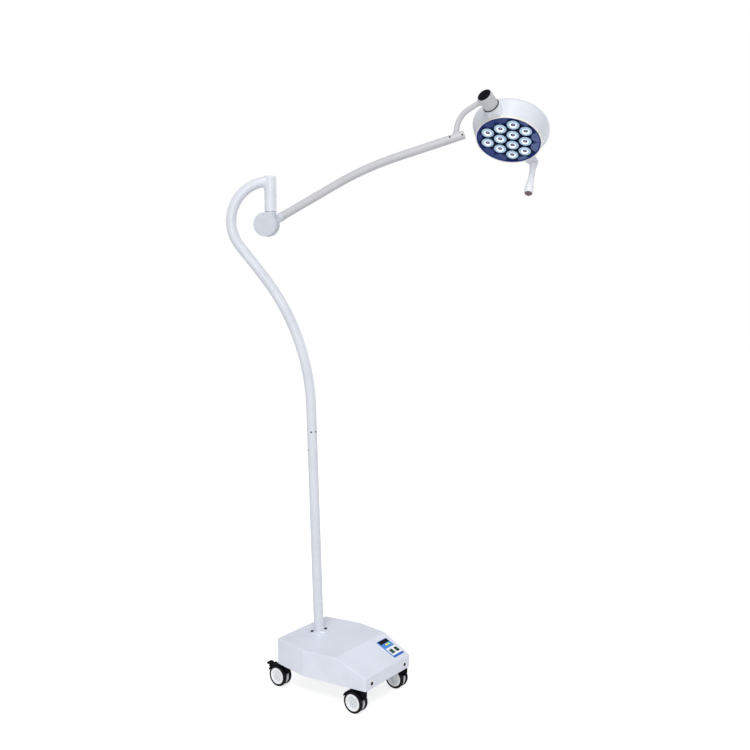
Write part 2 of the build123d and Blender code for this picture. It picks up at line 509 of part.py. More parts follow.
def make_elbow():
    gap = FRICTION_THICKNESS / 2
    back = gap + DISC_THICKNESS
    collar_low, collar_high = DISC_RADIUS + 0.8, SLEEVE_BOTTOM - 1.0 - ELBOW_HEIGHT
    bolt_axis = Pos(ELBOW_X, 0, 0)

    front = along_y(rod(DISC_RADIUS, -back, -gap))
    front = bolt_axis * chamfer(front.edges().sort_by(Axis.Y)[0], 1.5)
    neck = rod(COLLAR_RADIUS, 20, collar_high) & Pos(0, -gap - 30, 0) * Box(80, 60, 200)
    knuckle = front + neck + rod(COLLAR_RADIUS, collar_low, collar_high)
    knuckle = knuckle - bolt_axis * along_y(rod(ELBOW_BOLT_RADIUS, -60, 60))
    knuckle = knuckle - bolt_axis * along_y(rod(13, -back - 1, -back + 11))
    knuckle = knuckle - bolt_axis * along_y(rod(34, -back - 1, -back + 2))
    parts["elbow_knuckle"] = ELBOW * knuckle
    parts["elbow_front_cap"] = ELBOW * bolt_axis * along_y(rod(34, -back, -back + 2))
    parts["friction_disc"] = ELBOW * bolt_axis * along_y(ring(32, ELBOW_BOLT_RADIUS, -gap, gap))

    head = along_y(hex_nut(19, -back + 3.5, -back + 11))
    shaft = along_y(rod(ELBOW_BOLT_RADIUS, -back + 11, back - 3))
    nut = along_y(hex_nut(19, back - 11, back - 4) - rod(ELBOW_BOLT_RADIUS, 0, 60))
    parts["elbow_bolt"] = Compound([ELBOW * bolt_axis * (head + shaft), ELBOW * bolt_axis * nut])

    spindle = rod(SPINDLE_RADIUS, collar_high, SPINDLE_TOP - ELBOW_HEIGHT)
    parts["swivel_spindle"] = ELBOW * spindle
    nut_low = BUSH_HEIGHTS[1] + 20 - ELBOW_HEIGHT
    parts["spindle_nut"] = ELBOW * (hex_nut(28, nut_low, nut_low + 9) - rod(SPINDLE_RADIUS, 0, 400))

    to_arm = bolt_axis * Pos(0, ARM_Y, 0) * Rot(0, 90 - ARM_SLOPE, 0)
    rear = along_y(rod(DISC_RADIUS, gap + RUNNING_GAP, back))
    rear = bolt_axis * chamfer(rear.edges().sort_by(Axis.Y)[-1], 1.5)
    web = to_arm * block((ARM_WEB_WIDTH, DISC_THICKNESS - 2 * RUNNING_GAP, SOCKET_START + 4), (0, 0, 0))
    socket = to_arm * rod(SOCKET_RADIUS, SOCKET_START, SOCKET_END)
    socket = fillet(socket.edges().filter_by(GeomType.CIRCLE), 1)
    arm_knuckle = rear + web + socket
    arm_knuckle = arm_knuckle - bolt_axis * along_y(rod(ELBOW_BOLT_RADIUS + RUNNING_GAP, -60, 60))
    arm_knuckle = arm_knuckle - bolt_axis * along_y(rod(13, back - 11, back + 1))
    arm_knuckle = arm_knuckle - bolt_axis * along_y(rod(34, back - 2, back + 1))
    arm_knuckle = arm_knuckle - to_arm * rod(ARM_TUBE, SOCKET_START + 4, 200)
    parts["arm_knuckle"] = ELBOW * arm_knuckle
    parts["elbow_rear_cap"] = ELBOW * bolt_axis * along_y(rod(34, back - 2, back))


# ---------------------------------------------------------------- arm
def arm_path():
    """From inside the elbow's socket, up the first run, round the gentle bend and into the end block."""
    slope, end_slope = radians(ARM_SLOPE), radians(ARM_END_SLOPE)
    start = SOCKET_START + 4
    first = Vector(ELBOW_X + start * cos(slope), ARM_Y, start * sin(slope))
    bend_start = ARM_FIRST_RUN - ARM_BEND_TANGENT
    low = Vector(ELBOW_X + bend_start * cos(slope), ARM_Y, bend_start * sin(slope))
    high = arm_point(ARM_BEND_TANGENT)
    bend = TangentArc(low, high, tangent=Vector(cos(slope), 0, sin(slope)))
    return Wire([Line(first, low), bend, Line(high, arm_point(ARM_SECOND_RUN - END_BLOCK_BACK))])


def make_arm():
    parts["arm_tube"] = ELBOW * bent_tube(arm_path(), ARM_TUBE, ARM_WALL)

    # The end block is drawn along Z, which is then laid along the arm's second run.
    lay = Pos(arm_point(ARM_SECOND_RUN)) * Rot(0, 90 - ARM_END_SLOPE, 0)
    body = rod(END_BLOCK_RADIUS, -END_BLOCK_BACK, END_BLOCK_FRONT)
    body = fillet(body.edges().sort_by(Axis.Z)[-1], 2.5)
    tube_bore = ARM_TUBE - ARM_WALL - 0.02
    body = lay * (body + rod(tube_bore, -END_BLOCK_BACK - END_SPIGOT_LENGTH, -END_BLOCK_BACK))
    seat = rod(12, 0, YOKE_SEAT)
    bore = rod(YOKE_SPIGOT + RUNNING_GAP, -40, 40) + rod(10.5, YOKE_SEAT, 60)
    block_solid = body + Pos(arm_point(ARM_SECOND_RUN)) * seat - Pos(arm_point(ARM_SECOND_RUN)) * bore
    screws = []
    for distance, height, outer in ((-20, 6.0, ARM_TUBE), (21.5, 0.0, END_BLOCK_RADIUS)):
        at = lay * Pos(-height, 0, distance) * Rot(90, 0, 0)
        surface = sqrt(outer ** 2 - height ** 2)
        low = 7.5
        screw = rod(3.0, low, surface + 0.4) - hex_nut(3.2, surface - 2.5, surface + 1)
        hole = at * rod(3.0, low, surface + 6)
        block_solid = block_solid - hole
        parts["arm_tube"] = parts["arm_tube"] - ELBOW * hole
        screws.append(ELBOW * at * screw)
    parts["arm_end_block"] = ELBOW * block_solid
    parts["arm_end_screws"] = Compound(screws)


# ---------------------------------------------------------------- yoke and barrel
def make_yoke():
    """A thin bent tube: a spigot down into the arm's end block, and one into the barrel's side."""
    low, high = on_xz(0, YOKE_SEAT), on_xz(0, YOKE_BEND_LOW)
    bend = arc_xz((YOKE_BEND_RADIUS, YOKE_BEND_LOW), YOKE_BEND_RADIUS, 180, 180 - YOKE_BEND_TURN)
    run = YOKE_END_RUN - BARREL_BOSS_REACH
    end = on_xz(YOKE_BEND_END[0] + run * cos(radians(YOKE_END_SLOPE)),
                YOKE_BEND_END[1] + run * sin(radians(YOKE_END_SLOPE)))
    tube = bent_tube(Wire([Line(low, high), bend, Line(bend @ 1, end)]), YOKE_TUBE, YOKE_WALL)
    foot = rod(YOKE_SPIGOT, -12, YOKE_SEAT) + rod(YOKE_TUBE, YOKE_SEAT, YOKE_SEAT + 1.5)
    tip = rod(YOKE_TUBE, -1.5, 0) + rod(END_SPIGOT, 0, BARREL_BOSS_REACH - 16.5)
    tip = Pos(end) * Rot(0, 90 - YOKE_END_SLOPE, 0) * tip
    parts["yoke_tube"] = YOKE * (tube + foot + tip)


def make_barrel():
    """The pivot barrel lies along X; the yoke's spigot enters it from -Z, the head's spindle from +X."""
    barrel = along_x(rod(BARREL_RADIUS, BARREL_BACK, BARREL_FRONT))
    barrel = chamfer(barrel.edges().filter_by(GeomType.CIRCLE), 0.8)
    boss = rod(11, -BARREL_BOSS_REACH + RUNNING_GAP, -10)
    barrel = barrel + boss
    barrel = barrel - along_x(rod(SPINDLE_RADIUS + RUNNING_GAP, BARREL_BACK - 1, BARREL_FRONT + 1))
    barrel = barrel - along_x(rod(COLLAR_POCKET, BARREL_BACK - 1, -2))
    barrel = barrel - along_x(rod(CAP_RADIUS, BARREL_BACK - 1, BARREL_BACK + CAP_DEPTH))
    barrel = barrel - rod(END_SPIGOT + RUNNING_GAP, -BARREL_BOSS_REACH - 1, -16)
    parts["tilt_barrel"] = BARREL * barrel
    cap = along_x(rod(CAP_RADIUS, BARREL_BACK - 0.8, BARREL_BACK + CAP_DEPTH))
    parts["barrel_cap"] = BARREL * chamfer(cap.edges().sort_by(Axis.X)[0], 0.6)
    washer = ring(WASHER_RADIUS, SPINDLE_RADIUS + RUNNING_GAP, BARREL_FRONT, BARREL_FRONT + WASHER_THICKNESS)
    parts["barrel_washer"] = BARREL * along_x(washer)


# ---------------------------------------------------------------- head
BOSS_START = BARREL_FRONT + WASHER_THICKNESS + RUNNING_GAP
SPINDLE_FLANGE = 73.0


def shell_outline(inset):
    """The shell's outer curve from the front edge to the crown, moved inwards by inset."""
    flare = degrees(atan2(FLARE_RADIUS - SHELL_FRONT_RADIUS, FLARE_DEPTH - RING_BACK))
    nx, nz = cos(radians(flare)), -sin(radians(flare))
    first = on_xz(SHELL_FRONT_RADIUS - inset / nx, RING_BACK)
    shoulder = (FLARE_RADIUS - SHOULDER_RADIUS * nx, FLARE_DEPTH - SHOULDER_RADIUS * nz)
    bend = arc_xz(shoulder, SHOULDER_RADIUS - inset, -flare, SHOULDER_END)
    crown_radius = shoulder[0] / cos(radians(SHOULDER_END)) + SHOULDER_RADIUS
    crown_centre = (0, shoulder[1] - shoulder[0] * tan(radians(SHOULDER_END)))
    crown = arc_xz(crown_centre, crown_radius - inset, SHOULDER_END, 90)
    return first, bend, crown


def shell_body(inset):
    first, bend, crown = shell_outline(inset)
    middle = on_xz(0, RING_BACK)
    outline = Wire([Line(middle, first), Line(first, bend @ 0), bend, crown, Line(crown @ 1, middle)])
    return revolve(make_face(outline), Axis.Z)


def lens_places():
    """The lens centres in the face: four columns of a hexagonal grid, two, three, four and three long."""
    places = []
    for column, count in enumerate(LENS_COUNTS):
        across = (column - (len(LENS_COUNTS) - 1) / 2) * LENS_PITCH * sqrt(3) / 2
        for row in range(count):
            places.append(Pos(*LENS_GRID_AT, 0) * Rot(0, 0, LENS_GRID_TURN)
                          * Pos(across, (row - (count - 1) / 2) * LENS_PITCH, 0))
    return places


def lens():
    """A collimator lens: a shallow dome in front, a flange, and a cone that narrows to its LED."""
    edge, rim = LENS_RADIUS - 0.1, LENS_RADIUS + 1.8
    cone = revolved([(0, PANEL_BACK), (rim, PANEL_BACK), (rim, 6.5), (19, 6.5), (7, LENS_BACK), (0, LENS_BACK)])
    dome_radius = (edge ** 2 + LENS_CROWN ** 2) / (2 * LENS_CROWN)
    dome = Pos(0, 0, PANEL_FRONT - LENS_CROWN + dome_radius) * Sphere(dome_radius)
    return cone + (dome & rod(edge, PANEL_FRONT - LENS_CROWN - 1, PANEL_BACK))


def make_head():
    shell = shell_body(0) - shell_body(SHELL_WALL)
    to_shell = Pos(-HEAD_REACH, 0, FACE_DROP)
    boss = Pos(0, 0, BOSS_START) * Cone(BARREL_RADIUS, BOSS_FLARE, 54, align=UPWARD)
    boss = to_shell * along_x(boss) - shell_body(SHELL_WALL)
    boss = boss & Pos(-HEAD_REACH, 0, 1.5) * Box(200, 100, 200, align=UPWARD)
    boss = boss - rod(RING_OUTER + 0.5, -10, RING_BACK)
    inner_boss = to_shell * along_x(rod(SPINDLE_RADIUS + 5, 50, SPINDLE_FLANGE))
    shell = shell + boss + inner_boss - to_shell * along_x(rod(SPINDLE_RADIUS, 0, 95))
    parts["head_shell"] = HEAD_MIDDLE * biggest(shell)

    rim = ring(RING_OUTER, FACE_RADIUS, -RING_FRONT, RING_BACK)
    rim = fillet(rim.edges().group_by(Axis.Z)[0], 1.2)
    seat = ring(FACE_RADIUS + 0.7, FACE_RADIUS - 5, PANEL_BACK, PANEL_BACK + 2)
    neck = ring(FACE_RADIUS + 0.7, FACE_RADIUS, RING_BACK - 1, PANEL_BACK + 2)
    parts["front_ring"] = HEAD_MIDDLE * (rim + neck + seat)

    places = lens_places()
    panel = rod(FACE_RADIUS, PANEL_FRONT, PANEL_BACK)
    parts["lens_panel"] = HEAD_MIDDLE * cut_all(panel, [at * rod(LENS_RADIUS, -5, 10) for at in places])
    parts["lenses"] = Compound([HEAD_MIDDLE * at * lens() for at in places])

    board = rod(BOARD_RADIUS, BOARD_DEPTH, BOARD_DEPTH + 1.6)
    for at in places:
        board = board + at * rod(3.5, BOARD_DEPTH - 1.8, BOARD_DEPTH)
    parts["led_board"] = HEAD_MIDDLE * board
    sink_low = BOARD_DEPTH + 1.6
    sink = rod(SINK_RADIUS, sink_low, sink_low + 5)
    reach = SINK_RADIUS * 2 / (SINK_FINS + 1)
    for index in range(SINK_FINS):
        y = (index - (SINK_FINS - 1) / 2) * reach
        half = sqrt(SINK_RADIUS ** 2 - (abs(y) + 1.5) ** 2)
        sink = sink + block((2 * half, 2.5, FIN_HEIGHT), (0, y, sink_low + 4))
    parts["heat_sink"] = HEAD_MIDDLE * sink

    shaft = rod(SPINDLE_RADIUS, -9, SPINDLE_FLANGE) + rod(SPINDLE_COLLAR, -9, -2 - RUNNING_GAP)
    shaft = shaft + rod(SPINDLE_RADIUS + 4, SPINDLE_FLANGE, SPINDLE_FLANGE + 3)
    parts["tilt_spindle"] = HEAD * along_x(shaft)


def bracket():
    """The handle's bracket: a slab from the shell out to the handle, drawn about the handle's axis."""
    inner = 110 - HANDLE_REACH
    end = Cylinder(BRACKET_HALF_WIDTH, BRACKET_HEIGHT, align=UPWARD)
    slab = make_face(Polyline([(inner, -19), (0, -BRACKET_HALF_WIDTH), (0, BRACKET_HALF_WIDTH), (inner, 19)],
                              close=True))
    slab = extrude(slab, BRACKET_HEIGHT)
    body = end + slab
    top_cut = Pos(BRACKET_HALF_WIDTH, 0, BRACKET_HEIGHT) * Rot(0, 24, 0) * Box(120, 80, 30, align=UPWARD)
    body = body - Pos(0, 0, -1.5) * top_cut
    return body


def make_handle():
    shell_void = HEAD_MIDDLE * (shell_body(0) + rod(RING_OUTER + 0.5, -10, RING_BACK + 0.1))
    arm = HANDLE * bracket() - shell_void
    arm = HANDLE.inverse() * biggest(arm)
    pin = rod(HANDLE_PIN_RADIUS, -HANDLE_PIN_LENGTH, 0)
    pin = chamfer(pin.edges().sort_by(Axis.Z)[0], 1)
    parts["handle_bracket"] = HANDLE * (arm + pin)

    neck_low, waist_low, bulb, tip = -6, -62, 16.0, -HANDLE_LENGTH
    flare = TangentArc(on_xz(13.4, neck_low), on_xz(10.4, -38), tangent=Vector(-0.2, 0, -1))
    waist = Line(flare @ 1, on_xz(10.7, waist_low))
    swell = TangentArc(waist @ 1, on_xz(bulb - 0.4, -106), tangent=Vector(0.05, 0, -1))
    body = Line(swell @ 1, on_xz(bulb, tip + bulb))
    end = arc_xz((0, tip + bulb), bulb, 0, -90)
    outline = [Line(on_xz(0, -0.3), on_xz(13.4, -0.3)), Line(on_xz(13.4, -0.3), flare @ 0)]
    left = make_face(Wire(outline + [flare, waist, swell, body, end, Line(end @ 1, on_xz(0, -0.3))]))
    grip = revolve(left, Axis.Z)
    parts["handle"] = HANDLE * (grip - rod(HANDLE_PIN_RADIUS + RUNNING_GAP, -HANDLE_PIN_LENGTH - 2, 1))


def main():
    make_base()
    make_panel()
    make_power_entry()
    make_casters()
    make_mast()
    make_elbow()
    make_arm()
    make_yoke()
    make_barrel()
    make_head()
    make_handle()
    os.makedirs("parts", exist_ok=True)
    for name, shape in parts.items():
        export_step(shape, f"parts/{name}.step")


main()
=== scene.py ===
import json
import math

import bmesh
import bpy
from mathutils import Matrix, Vector


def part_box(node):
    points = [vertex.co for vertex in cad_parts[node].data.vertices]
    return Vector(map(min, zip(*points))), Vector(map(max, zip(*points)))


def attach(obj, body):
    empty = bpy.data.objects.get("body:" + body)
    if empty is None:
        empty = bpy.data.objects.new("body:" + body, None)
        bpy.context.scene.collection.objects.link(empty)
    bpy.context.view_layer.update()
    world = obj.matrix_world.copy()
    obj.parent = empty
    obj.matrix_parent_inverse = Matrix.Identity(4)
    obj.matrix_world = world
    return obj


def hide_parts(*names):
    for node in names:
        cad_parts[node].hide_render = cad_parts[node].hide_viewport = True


# The looks of a mobile surgical light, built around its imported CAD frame. Everything is in metres in
# the CAD's own frame; sizes in millimetres are turned into metres by MM. Most CAD nodes stay and get a
# material. The wheels, the lenses, the handle's grip and the barrel's seal are rebuilt here in more
# detail, and the lit face, the control panel, the screws and the weld get the small pieces that the
# CAD leaves out.

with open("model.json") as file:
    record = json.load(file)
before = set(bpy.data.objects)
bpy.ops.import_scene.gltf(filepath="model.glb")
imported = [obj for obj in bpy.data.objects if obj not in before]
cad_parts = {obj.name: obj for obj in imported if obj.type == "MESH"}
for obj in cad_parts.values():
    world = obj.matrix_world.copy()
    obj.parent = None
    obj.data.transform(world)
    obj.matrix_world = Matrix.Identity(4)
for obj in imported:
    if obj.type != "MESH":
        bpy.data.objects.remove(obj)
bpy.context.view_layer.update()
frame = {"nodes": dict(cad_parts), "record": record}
NODES = frame["nodes"]
JOINTS = {j["name"]: j for j in frame["record"]["behaviour"]["joints"]}
MM = 0.001
scene = bpy.context.scene


# ---------------------------------------------------------------- frames
def frame_at(origin, x_axis, z_axis):
    """A 4x4 matrix with its origin, X and Z given, and Y completing it."""
    z = Vector(z_axis).normalized()
    x = Vector(x_axis)
    x = (x - z * x.dot(z)).normalized()
    y = z.cross(x)
    m = Matrix((x, y, z)).transposed().to_4x4()
    m.translation = Vector(origin)
    return m


def shift(x, y, z):
    """A move in millimetres."""
    return Matrix.Translation((x * MM, y * MM, z * MM))


def turn(angle, axis):
    """A turn in degrees about a named axis."""
    return Matrix.Rotation(math.radians(angle), 4, axis)


# Millimetres: the lit face's centre from the head's tilt axis, and the handle's foot from that centre.
FACE_REACH, FACE_LEVEL = 179, -27
HANDLE_BEARING, HANDLE_REACH, HANDLE_LEVEL = -12, 144, 1
OVERLAY_THICKNESS = 1.5

# Z points out of the head's back in HEAD, FACE and HANDLE, out of the cover in PANEL, along the head's
# tilt axis in BARREL and straight up in SLEEVE.
HEAD = frame_at(JOINTS["head_tilt"]["pos_m"], JOINTS["head_tilt"]["axis"],
                -Vector(JOINTS["handle_pull"]["axis"]))
FACE = HEAD @ shift(FACE_REACH, 0, FACE_LEVEL)
HANDLE = FACE @ turn(HANDLE_BEARING, "Z") @ shift(HANDLE_REACH, 0, HANDLE_LEVEL)
PANEL_NORMAL = -Vector(JOINTS["button_dimmer_press"]["axis"])
panel_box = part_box("panel_overlay")
panel_middle = (panel_box[0] + panel_box[1]) / 2
PANEL = frame_at(panel_middle - PANEL_NORMAL * OVERLAY_THICKNESS / 2 * MM, (1, 0, 0), PANEL_NORMAL)
BARREL = frame_at(JOINTS["head_tilt"]["pos_m"], JOINTS["barrel_turn"]["axis"], JOINTS["head_tilt"]["axis"])
SLEEVE = Matrix.Translation((*JOINTS["elbow_swivel"]["pos_m"][:2], 0))


# ---------------------------------------------------------------- material kit
class Graph:
    """A short way to write a node tree."""

    def __init__(self, name):
        self.material = bpy.data.materials.new(name)
        self.material.use_nodes = True
        self.tree = self.material.node_tree
        self.tree.nodes.clear()
        self.output = self.node("ShaderNodeOutputMaterial")
        self.shader = self.node("ShaderNodeBsdfPrincipled")
        self.link(self.shader.outputs[0], self.output.inputs[0])
        self.place = self.node("ShaderNodeTexCoord").outputs["Object"]

    def node(self, kind, **values):
        n = self.tree.nodes.new(kind)
        for key, value in values.items():
            setattr(n, key, value)
        return n

    def link(self, a, b):
        self.tree.links.new(a, b)

    def feed(self, socket, value):
        if hasattr(value, "is_linked"):
            self.link(value, socket)
        elif isinstance(value, (tuple, list)) and len(value) == 3 and socket.type == "RGBA":
            socket.default_value = (*value, 1)
        else:
            socket.default_value = value

    def noise(self, scale, detail=3.0, rough=0.5, place=None, distortion=0.0):
        n = self.node("ShaderNodeTexNoise")
        self.link(place or self.place, n.inputs["Vector"])
        n.inputs["Scale"].default_value = scale
        n.inputs["Detail"].default_value = detail
        n.inputs["Roughness"].default_value = rough
        n.inputs["Distortion"].default_value = distortion
        return n.outputs["Fac"]

    def voronoi(self, scale):
        n = self.node("ShaderNodeTexVoronoi", feature="F1")
        self.link(self.place, n.inputs["Vector"])
        n.inputs["Scale"].default_value = scale
        return n.outputs["Distance"]

    def math(self, operation, a, b=0.0):
        n = self.node("ShaderNodeMath", operation=operation)
        for socket, value in zip(n.inputs, (a, b)):
            self.feed(socket, value)
        return n.outputs[0]

    def remap(self, value, low, high, to_low=0.0, to_high=1.0):
        n = self.node("ShaderNodeMapRange", interpolation_type="SMOOTHSTEP")
        self.feed(n.inputs["Value"], value)
        for key, v in (("From Min", low), ("From Max", high), ("To Min", to_low), ("To Max", to_high)):
            n.inputs[key].default_value = v
        return n.outputs["Result"]

    def mix(self, factor, a, b):
        n = self.node("ShaderNodeMix", data_type="RGBA", blend_type="MIX")
        self.feed(n.inputs["Factor"], factor)
        self.feed(n.inputs["A"], a)
        self.feed(n.inputs["B"], b)
        return n.outputs["Result"]

    def along(self, origin, direction):
        """Distance in metres from origin along a direction."""
        d = self.node("ShaderNodeVectorMath", operation="DOT_PRODUCT")
        self.link(self.place, d.inputs[0])
        d.inputs[1].default_value = tuple(direction)
        return self.math("SUBTRACT", d.outputs["Value"], float(Vector(origin).dot(Vector(direction))))

    def bump(self, layers, round_edges=0.0):
        """Stack bumps from (height, strength, distance in metres), over edges rounded by a radius."""
        normal = None
        if round_edges:
            b = self.node("ShaderNodeBevel", samples=6)
            b.inputs["Radius"].default_value = round_edges
            normal = b.outputs[0]
        for height, strength, distance in layers:
            n = self.node("ShaderNodeBump")
            n.inputs["Strength"].default_value = strength
            n.inputs["Distance"].default_value = distance
            self.feed(n.inputs["Height"], height)
            if normal is not None:
                self.link(normal, n.inputs["Normal"])
            normal = n.outputs[0]
        self.link(normal, self.shader.inputs["Normal"])

    def edges(self, radius):
        """Near 1 along convex and concave edges, 0 on flats."""
        b = self.node("ShaderNodeBevel", samples=6)
        b.inputs["Radius"].default_value = radius
        geometry = self.node("ShaderNodeNewGeometry")
        d = self.node("ShaderNodeVectorMath", operation="DOT_PRODUCT")
        self.link(b.outputs[0], d.inputs[0])
        self.link(geometry.outputs["Normal"], d.inputs[1])
        return self.remap(d.outputs["Value"], 0.999, 0.90)

    def set(self, **values):
        for key, value in values.items():
            self.feed(self.shader.inputs[key.replace("_", " ")], value)


def painted(name, colour, shade=0.94, rough=0.34, texture=0.16, coat=0.25, edge=0.0012):
    """Powder-coated metal: fine orange peel, faint cloudy shade, soft polish marks, and a painted highlight
    on thin edges.
    """
    g = Graph(name)
    cloud = g.noise(7, 4, 0.6)
    fine = g.noise(240, 2, 0.5)
    low = tuple(c * shade for c in colour)
    base = g.mix(g.remap(cloud, 0.35, 0.7), colour, low)
    base = g.mix(g.math("MULTIPLY", g.remap(fine, 0.62, 0.8), 0.25), base, tuple(c * 0.86 for c in colour))
    # Painted highlight: the mask below lightens the colour along edges, broken up by noise.
    if edge:
        wear = g.math("MULTIPLY", g.edges(edge), g.remap(g.noise(60, 3, 0.7), 0.45, 0.75, 0.05, 0.5))
        base = g.mix(wear, base, tuple(min(1.0, c * 1.07) for c in colour))
    g.set(Base_Color=base, Roughness=g.remap(g.noise(18, 5, 0.65), 0.25, 0.75, rough - 0.05, rough + 0.09),
          Coat_Weight=coat, Coat_Roughness=0.22)
    g.bump([(g.noise(900, 2, 0.4), texture, 0.00025), (fine, texture * 0.6, 0.0004)], edge)
    return g.material


def moulded(name, colour, rough=0.42, grain=0.25, shade=0.85, lift=0.03, shine=0.5):
    """Moulded plastic: spark-eroded grain, slight mottling, scuffs that catch the light."""
    g = Graph(name)
    mottle = g.noise(24, 4, 0.6)
    base = g.mix(g.remap(mottle, 0.3, 0.72), colour, tuple(c * shade for c in colour))
    scuff = g.noise(130, 6, 0.8, distortion=1.6)
    base = g.mix(g.math("MULTIPLY", g.remap(scuff, 0.62, 0.74), 0.18), base,
                 tuple(min(1.0, c * 1.25 + lift) for c in colour))
    g.set(Base_Color=base, Roughness=g.remap(scuff, 0.3, 0.75, rough - 0.06, rough + 0.12),
          Specular_IOR_Level=shine)
    g.bump([(g.voronoi(1500), grain, 0.00012), (mottle, 0.05, 0.0006)], 0.0006)
    return g.material


def machined(name, colour, rough=0.28):
    """Bare metal: hair-fine tooling lines and faint stains."""
    g = Graph(name)
    stretch = g.node("ShaderNodeMapping")
    stretch.inputs["Scale"].default_value = (1.0, 1.0, 0.04)
    g.link(g.place, stretch.inputs["Vector"])
    lines = g.noise(2600, 2, 0.5, stretch.outputs[0])
    stain = g.noise(40, 4, 0.7)
    base = g.mix(g.remap(stain, 0.4, 0.75), colour, tuple(c * 0.82 for c in colour))
    g.set(Base_Color=base, Metallic=1.0, Roughness=g.remap(stain, 0.3, 0.8, rough, rough + 0.16))
    g.bump([(lines, 0.08, 0.00005)], 0.0005)
    return g.material


def rubber(name, colour):
    """Thermoplastic tread rubber: dusty and faintly pitted."""
    g = Graph(name)
    dust = g.noise(70, 6, 0.75)
    dusty = tuple(c * 1.5 + 0.012 for c in colour)
    base = g.mix(g.math("MULTIPLY", g.remap(dust, 0.48, 0.78), 0.35), colour, dusty)
    g.set(Base_Color=base, Roughness=g.remap(dust, 0.3, 0.8, 0.56, 0.78), Specular_IOR_Level=0.25)
    g.bump([(g.voronoi(1300), 0.3, 0.0001), (dust, 0.1, 0.0003)], 0.0004)
    return g.material


mat_paint = painted("paint_white", (0.80, 0.835, 0.93))
mat_paint_head = painted("paint_head", (0.745, 0.775, 0.83), shade=0.965, rough=0.42, texture=0.05, coat=0.08)
# Painted shade: the arm, its end block and the yoke wear a grey copy of the white paint.
mat_paint_arm_shaded = painted("paint_arm", (0.58, 0.58, 0.61), rough=0.32, texture=0.04, coat=0.12, edge=0.0)
mat_paint_barrel = painted("paint_barrel", (0.62, 0.625, 0.65), rough=0.3, texture=0.05, coat=0.15,
                           edge=0.0008)
mat_paint_tube = painted("paint_tube", (0.735, 0.765, 0.825), rough=0.26, texture=0.03, coat=0.15, edge=0.0)
mat_paint_elbow = painted("paint_elbow", (0.63, 0.66, 0.725), rough=0.32, texture=0.08, coat=0.15,
                          edge=0.0008)
mat_ring = moulded("ring_ivory", (0.97, 0.93, 0.86), rough=0.28, grain=0.06)
mat_cap_white = moulded("plastic_white", (0.86, 0.88, 0.92), rough=0.36, grain=0.12)
mat_black = moulded("nylon_black", (0.005, 0.005, 0.008), rough=0.5, grain=0.2, shade=0.7, lift=0.006,
                    shine=0.07)
mat_tyre = rubber("tread_black", (0.004, 0.004, 0.008))
mat_wheel_ring = moulded("wheel_ring_white", (1.0, 1.0, 1.0), rough=0.33, grain=0.08, shade=0.97)
mat_wheel_hub = moulded("wheel_hub_grey", (0.86, 0.89, 0.93), rough=0.4, grain=0.18)
mat_steel = machined("steel_zinc", (0.60, 0.61, 0.63))
mat_dark_steel = machined("steel_blackened", (0.055, 0.035, 0.035), rough=0.4)
mat_bronze = machined("bronze", (0.62, 0.42, 0.20), rough=0.3)
mat_alloy = machined("alloy_plain", (0.66, 0.67, 0.69), rough=0.36)
mat_iron = machined("iron_cast", (0.06, 0.06, 0.065), rough=0.62)
mat_board = moulded("board_green", (0.02, 0.13, 0.05), rough=0.3, grain=0.05)
mat_fibre = moulded("friction_fibre", (0.16, 0.11, 0.08), rough=0.8, grain=0.5)
# Painted shadow: the handle's end plug is dark brown where the tip falls in shade.
mat_plug_painted_shadow = moulded("plug_brown", (0.16, 0.11, 0.12), rough=0.4)


def printed(name, colour, rough=0.32):
    """Screen-printed polyester film: very fine weave of the mesh and a soft gloss."""
    g = Graph(name)
    threads = 14000.0
    warp, weft = (g.math("SINE", g.math("MULTIPLY", g.along((0, 0, 0), PANEL.col[k].xyz), threads))
                  for k in (0, 1))
    weave = g.math("MULTIPLY", warp, weft)
    cloud = g.noise(55, 4, 0.6)
    base = g.mix(g.remap(cloud, 0.35, 0.75), colour, tuple(c * 0.88 for c in colour))
    g.set(Base_Color=base, Roughness=g.remap(cloud, 0.3, 0.7, rough, rough + 0.1), Coat_Weight=0.08,
          Coat_Roughness=0.15, Specular_IOR_Level=0.2)
    g.bump([(weave, 0.06, 0.00004)], 0.0002)
    return g.material


mat_film_white = printed("film_white", (0.97, 0.98, 1.0))
mat_film_blue = printed("film_blue", (0.09, 0.30, 0.78))
mat_film_deep = printed("film_deep_blue", (0.02, 0.15, 0.58))
mat_button = printed("button_green", (0.004, 0.035, 0.022), rough=0.4)
mat_button_dark = printed("button_dark", (0.004, 0.014, 0.012), rough=0.4)
mat_icon = printed("button_icon", (0.02, 0.36, 0.20), rough=0.4)


def glossy(name, colour, rough=0.06, glow=None, glow_strength=0.0, coat=0.6, shine=0.5):
    """Clear or tinted gloss: faint moulding flow marks under a hard coat."""
    g = Graph(name)
    flow = g.noise(45, 3, 0.5, distortion=2.0)
    base = g.mix(g.remap(flow, 0.3, 0.75), colour, tuple(c * 0.8 for c in colour))
    g.set(Base_Color=base, Roughness=g.remap(flow, 0.3, 0.8, rough, rough + 0.06), Coat_Weight=coat,
          Coat_Roughness=0.04, IOR=1.5, Specular_IOR_Level=shine)
    if glow:
        g.set(Emission_Color=glow, Emission_Strength=glow_strength)
    g.bump([(flow, 0.03, 0.0002)], 0.0003)
    return g.material


mat_window = glossy("display_black", (0.002, 0.002, 0.004), rough=0.12, coat=0.05, shine=0.12)
mat_amber = glossy("light_amber", (0.95, 0.72, 0.05), glow=(1.0, 0.75, 0.05), glow_strength=0.8)
mat_lime = glossy("light_lime", (0.35, 0.85, 0.10), glow=(0.4, 1.0, 0.1), glow_strength=0.6)


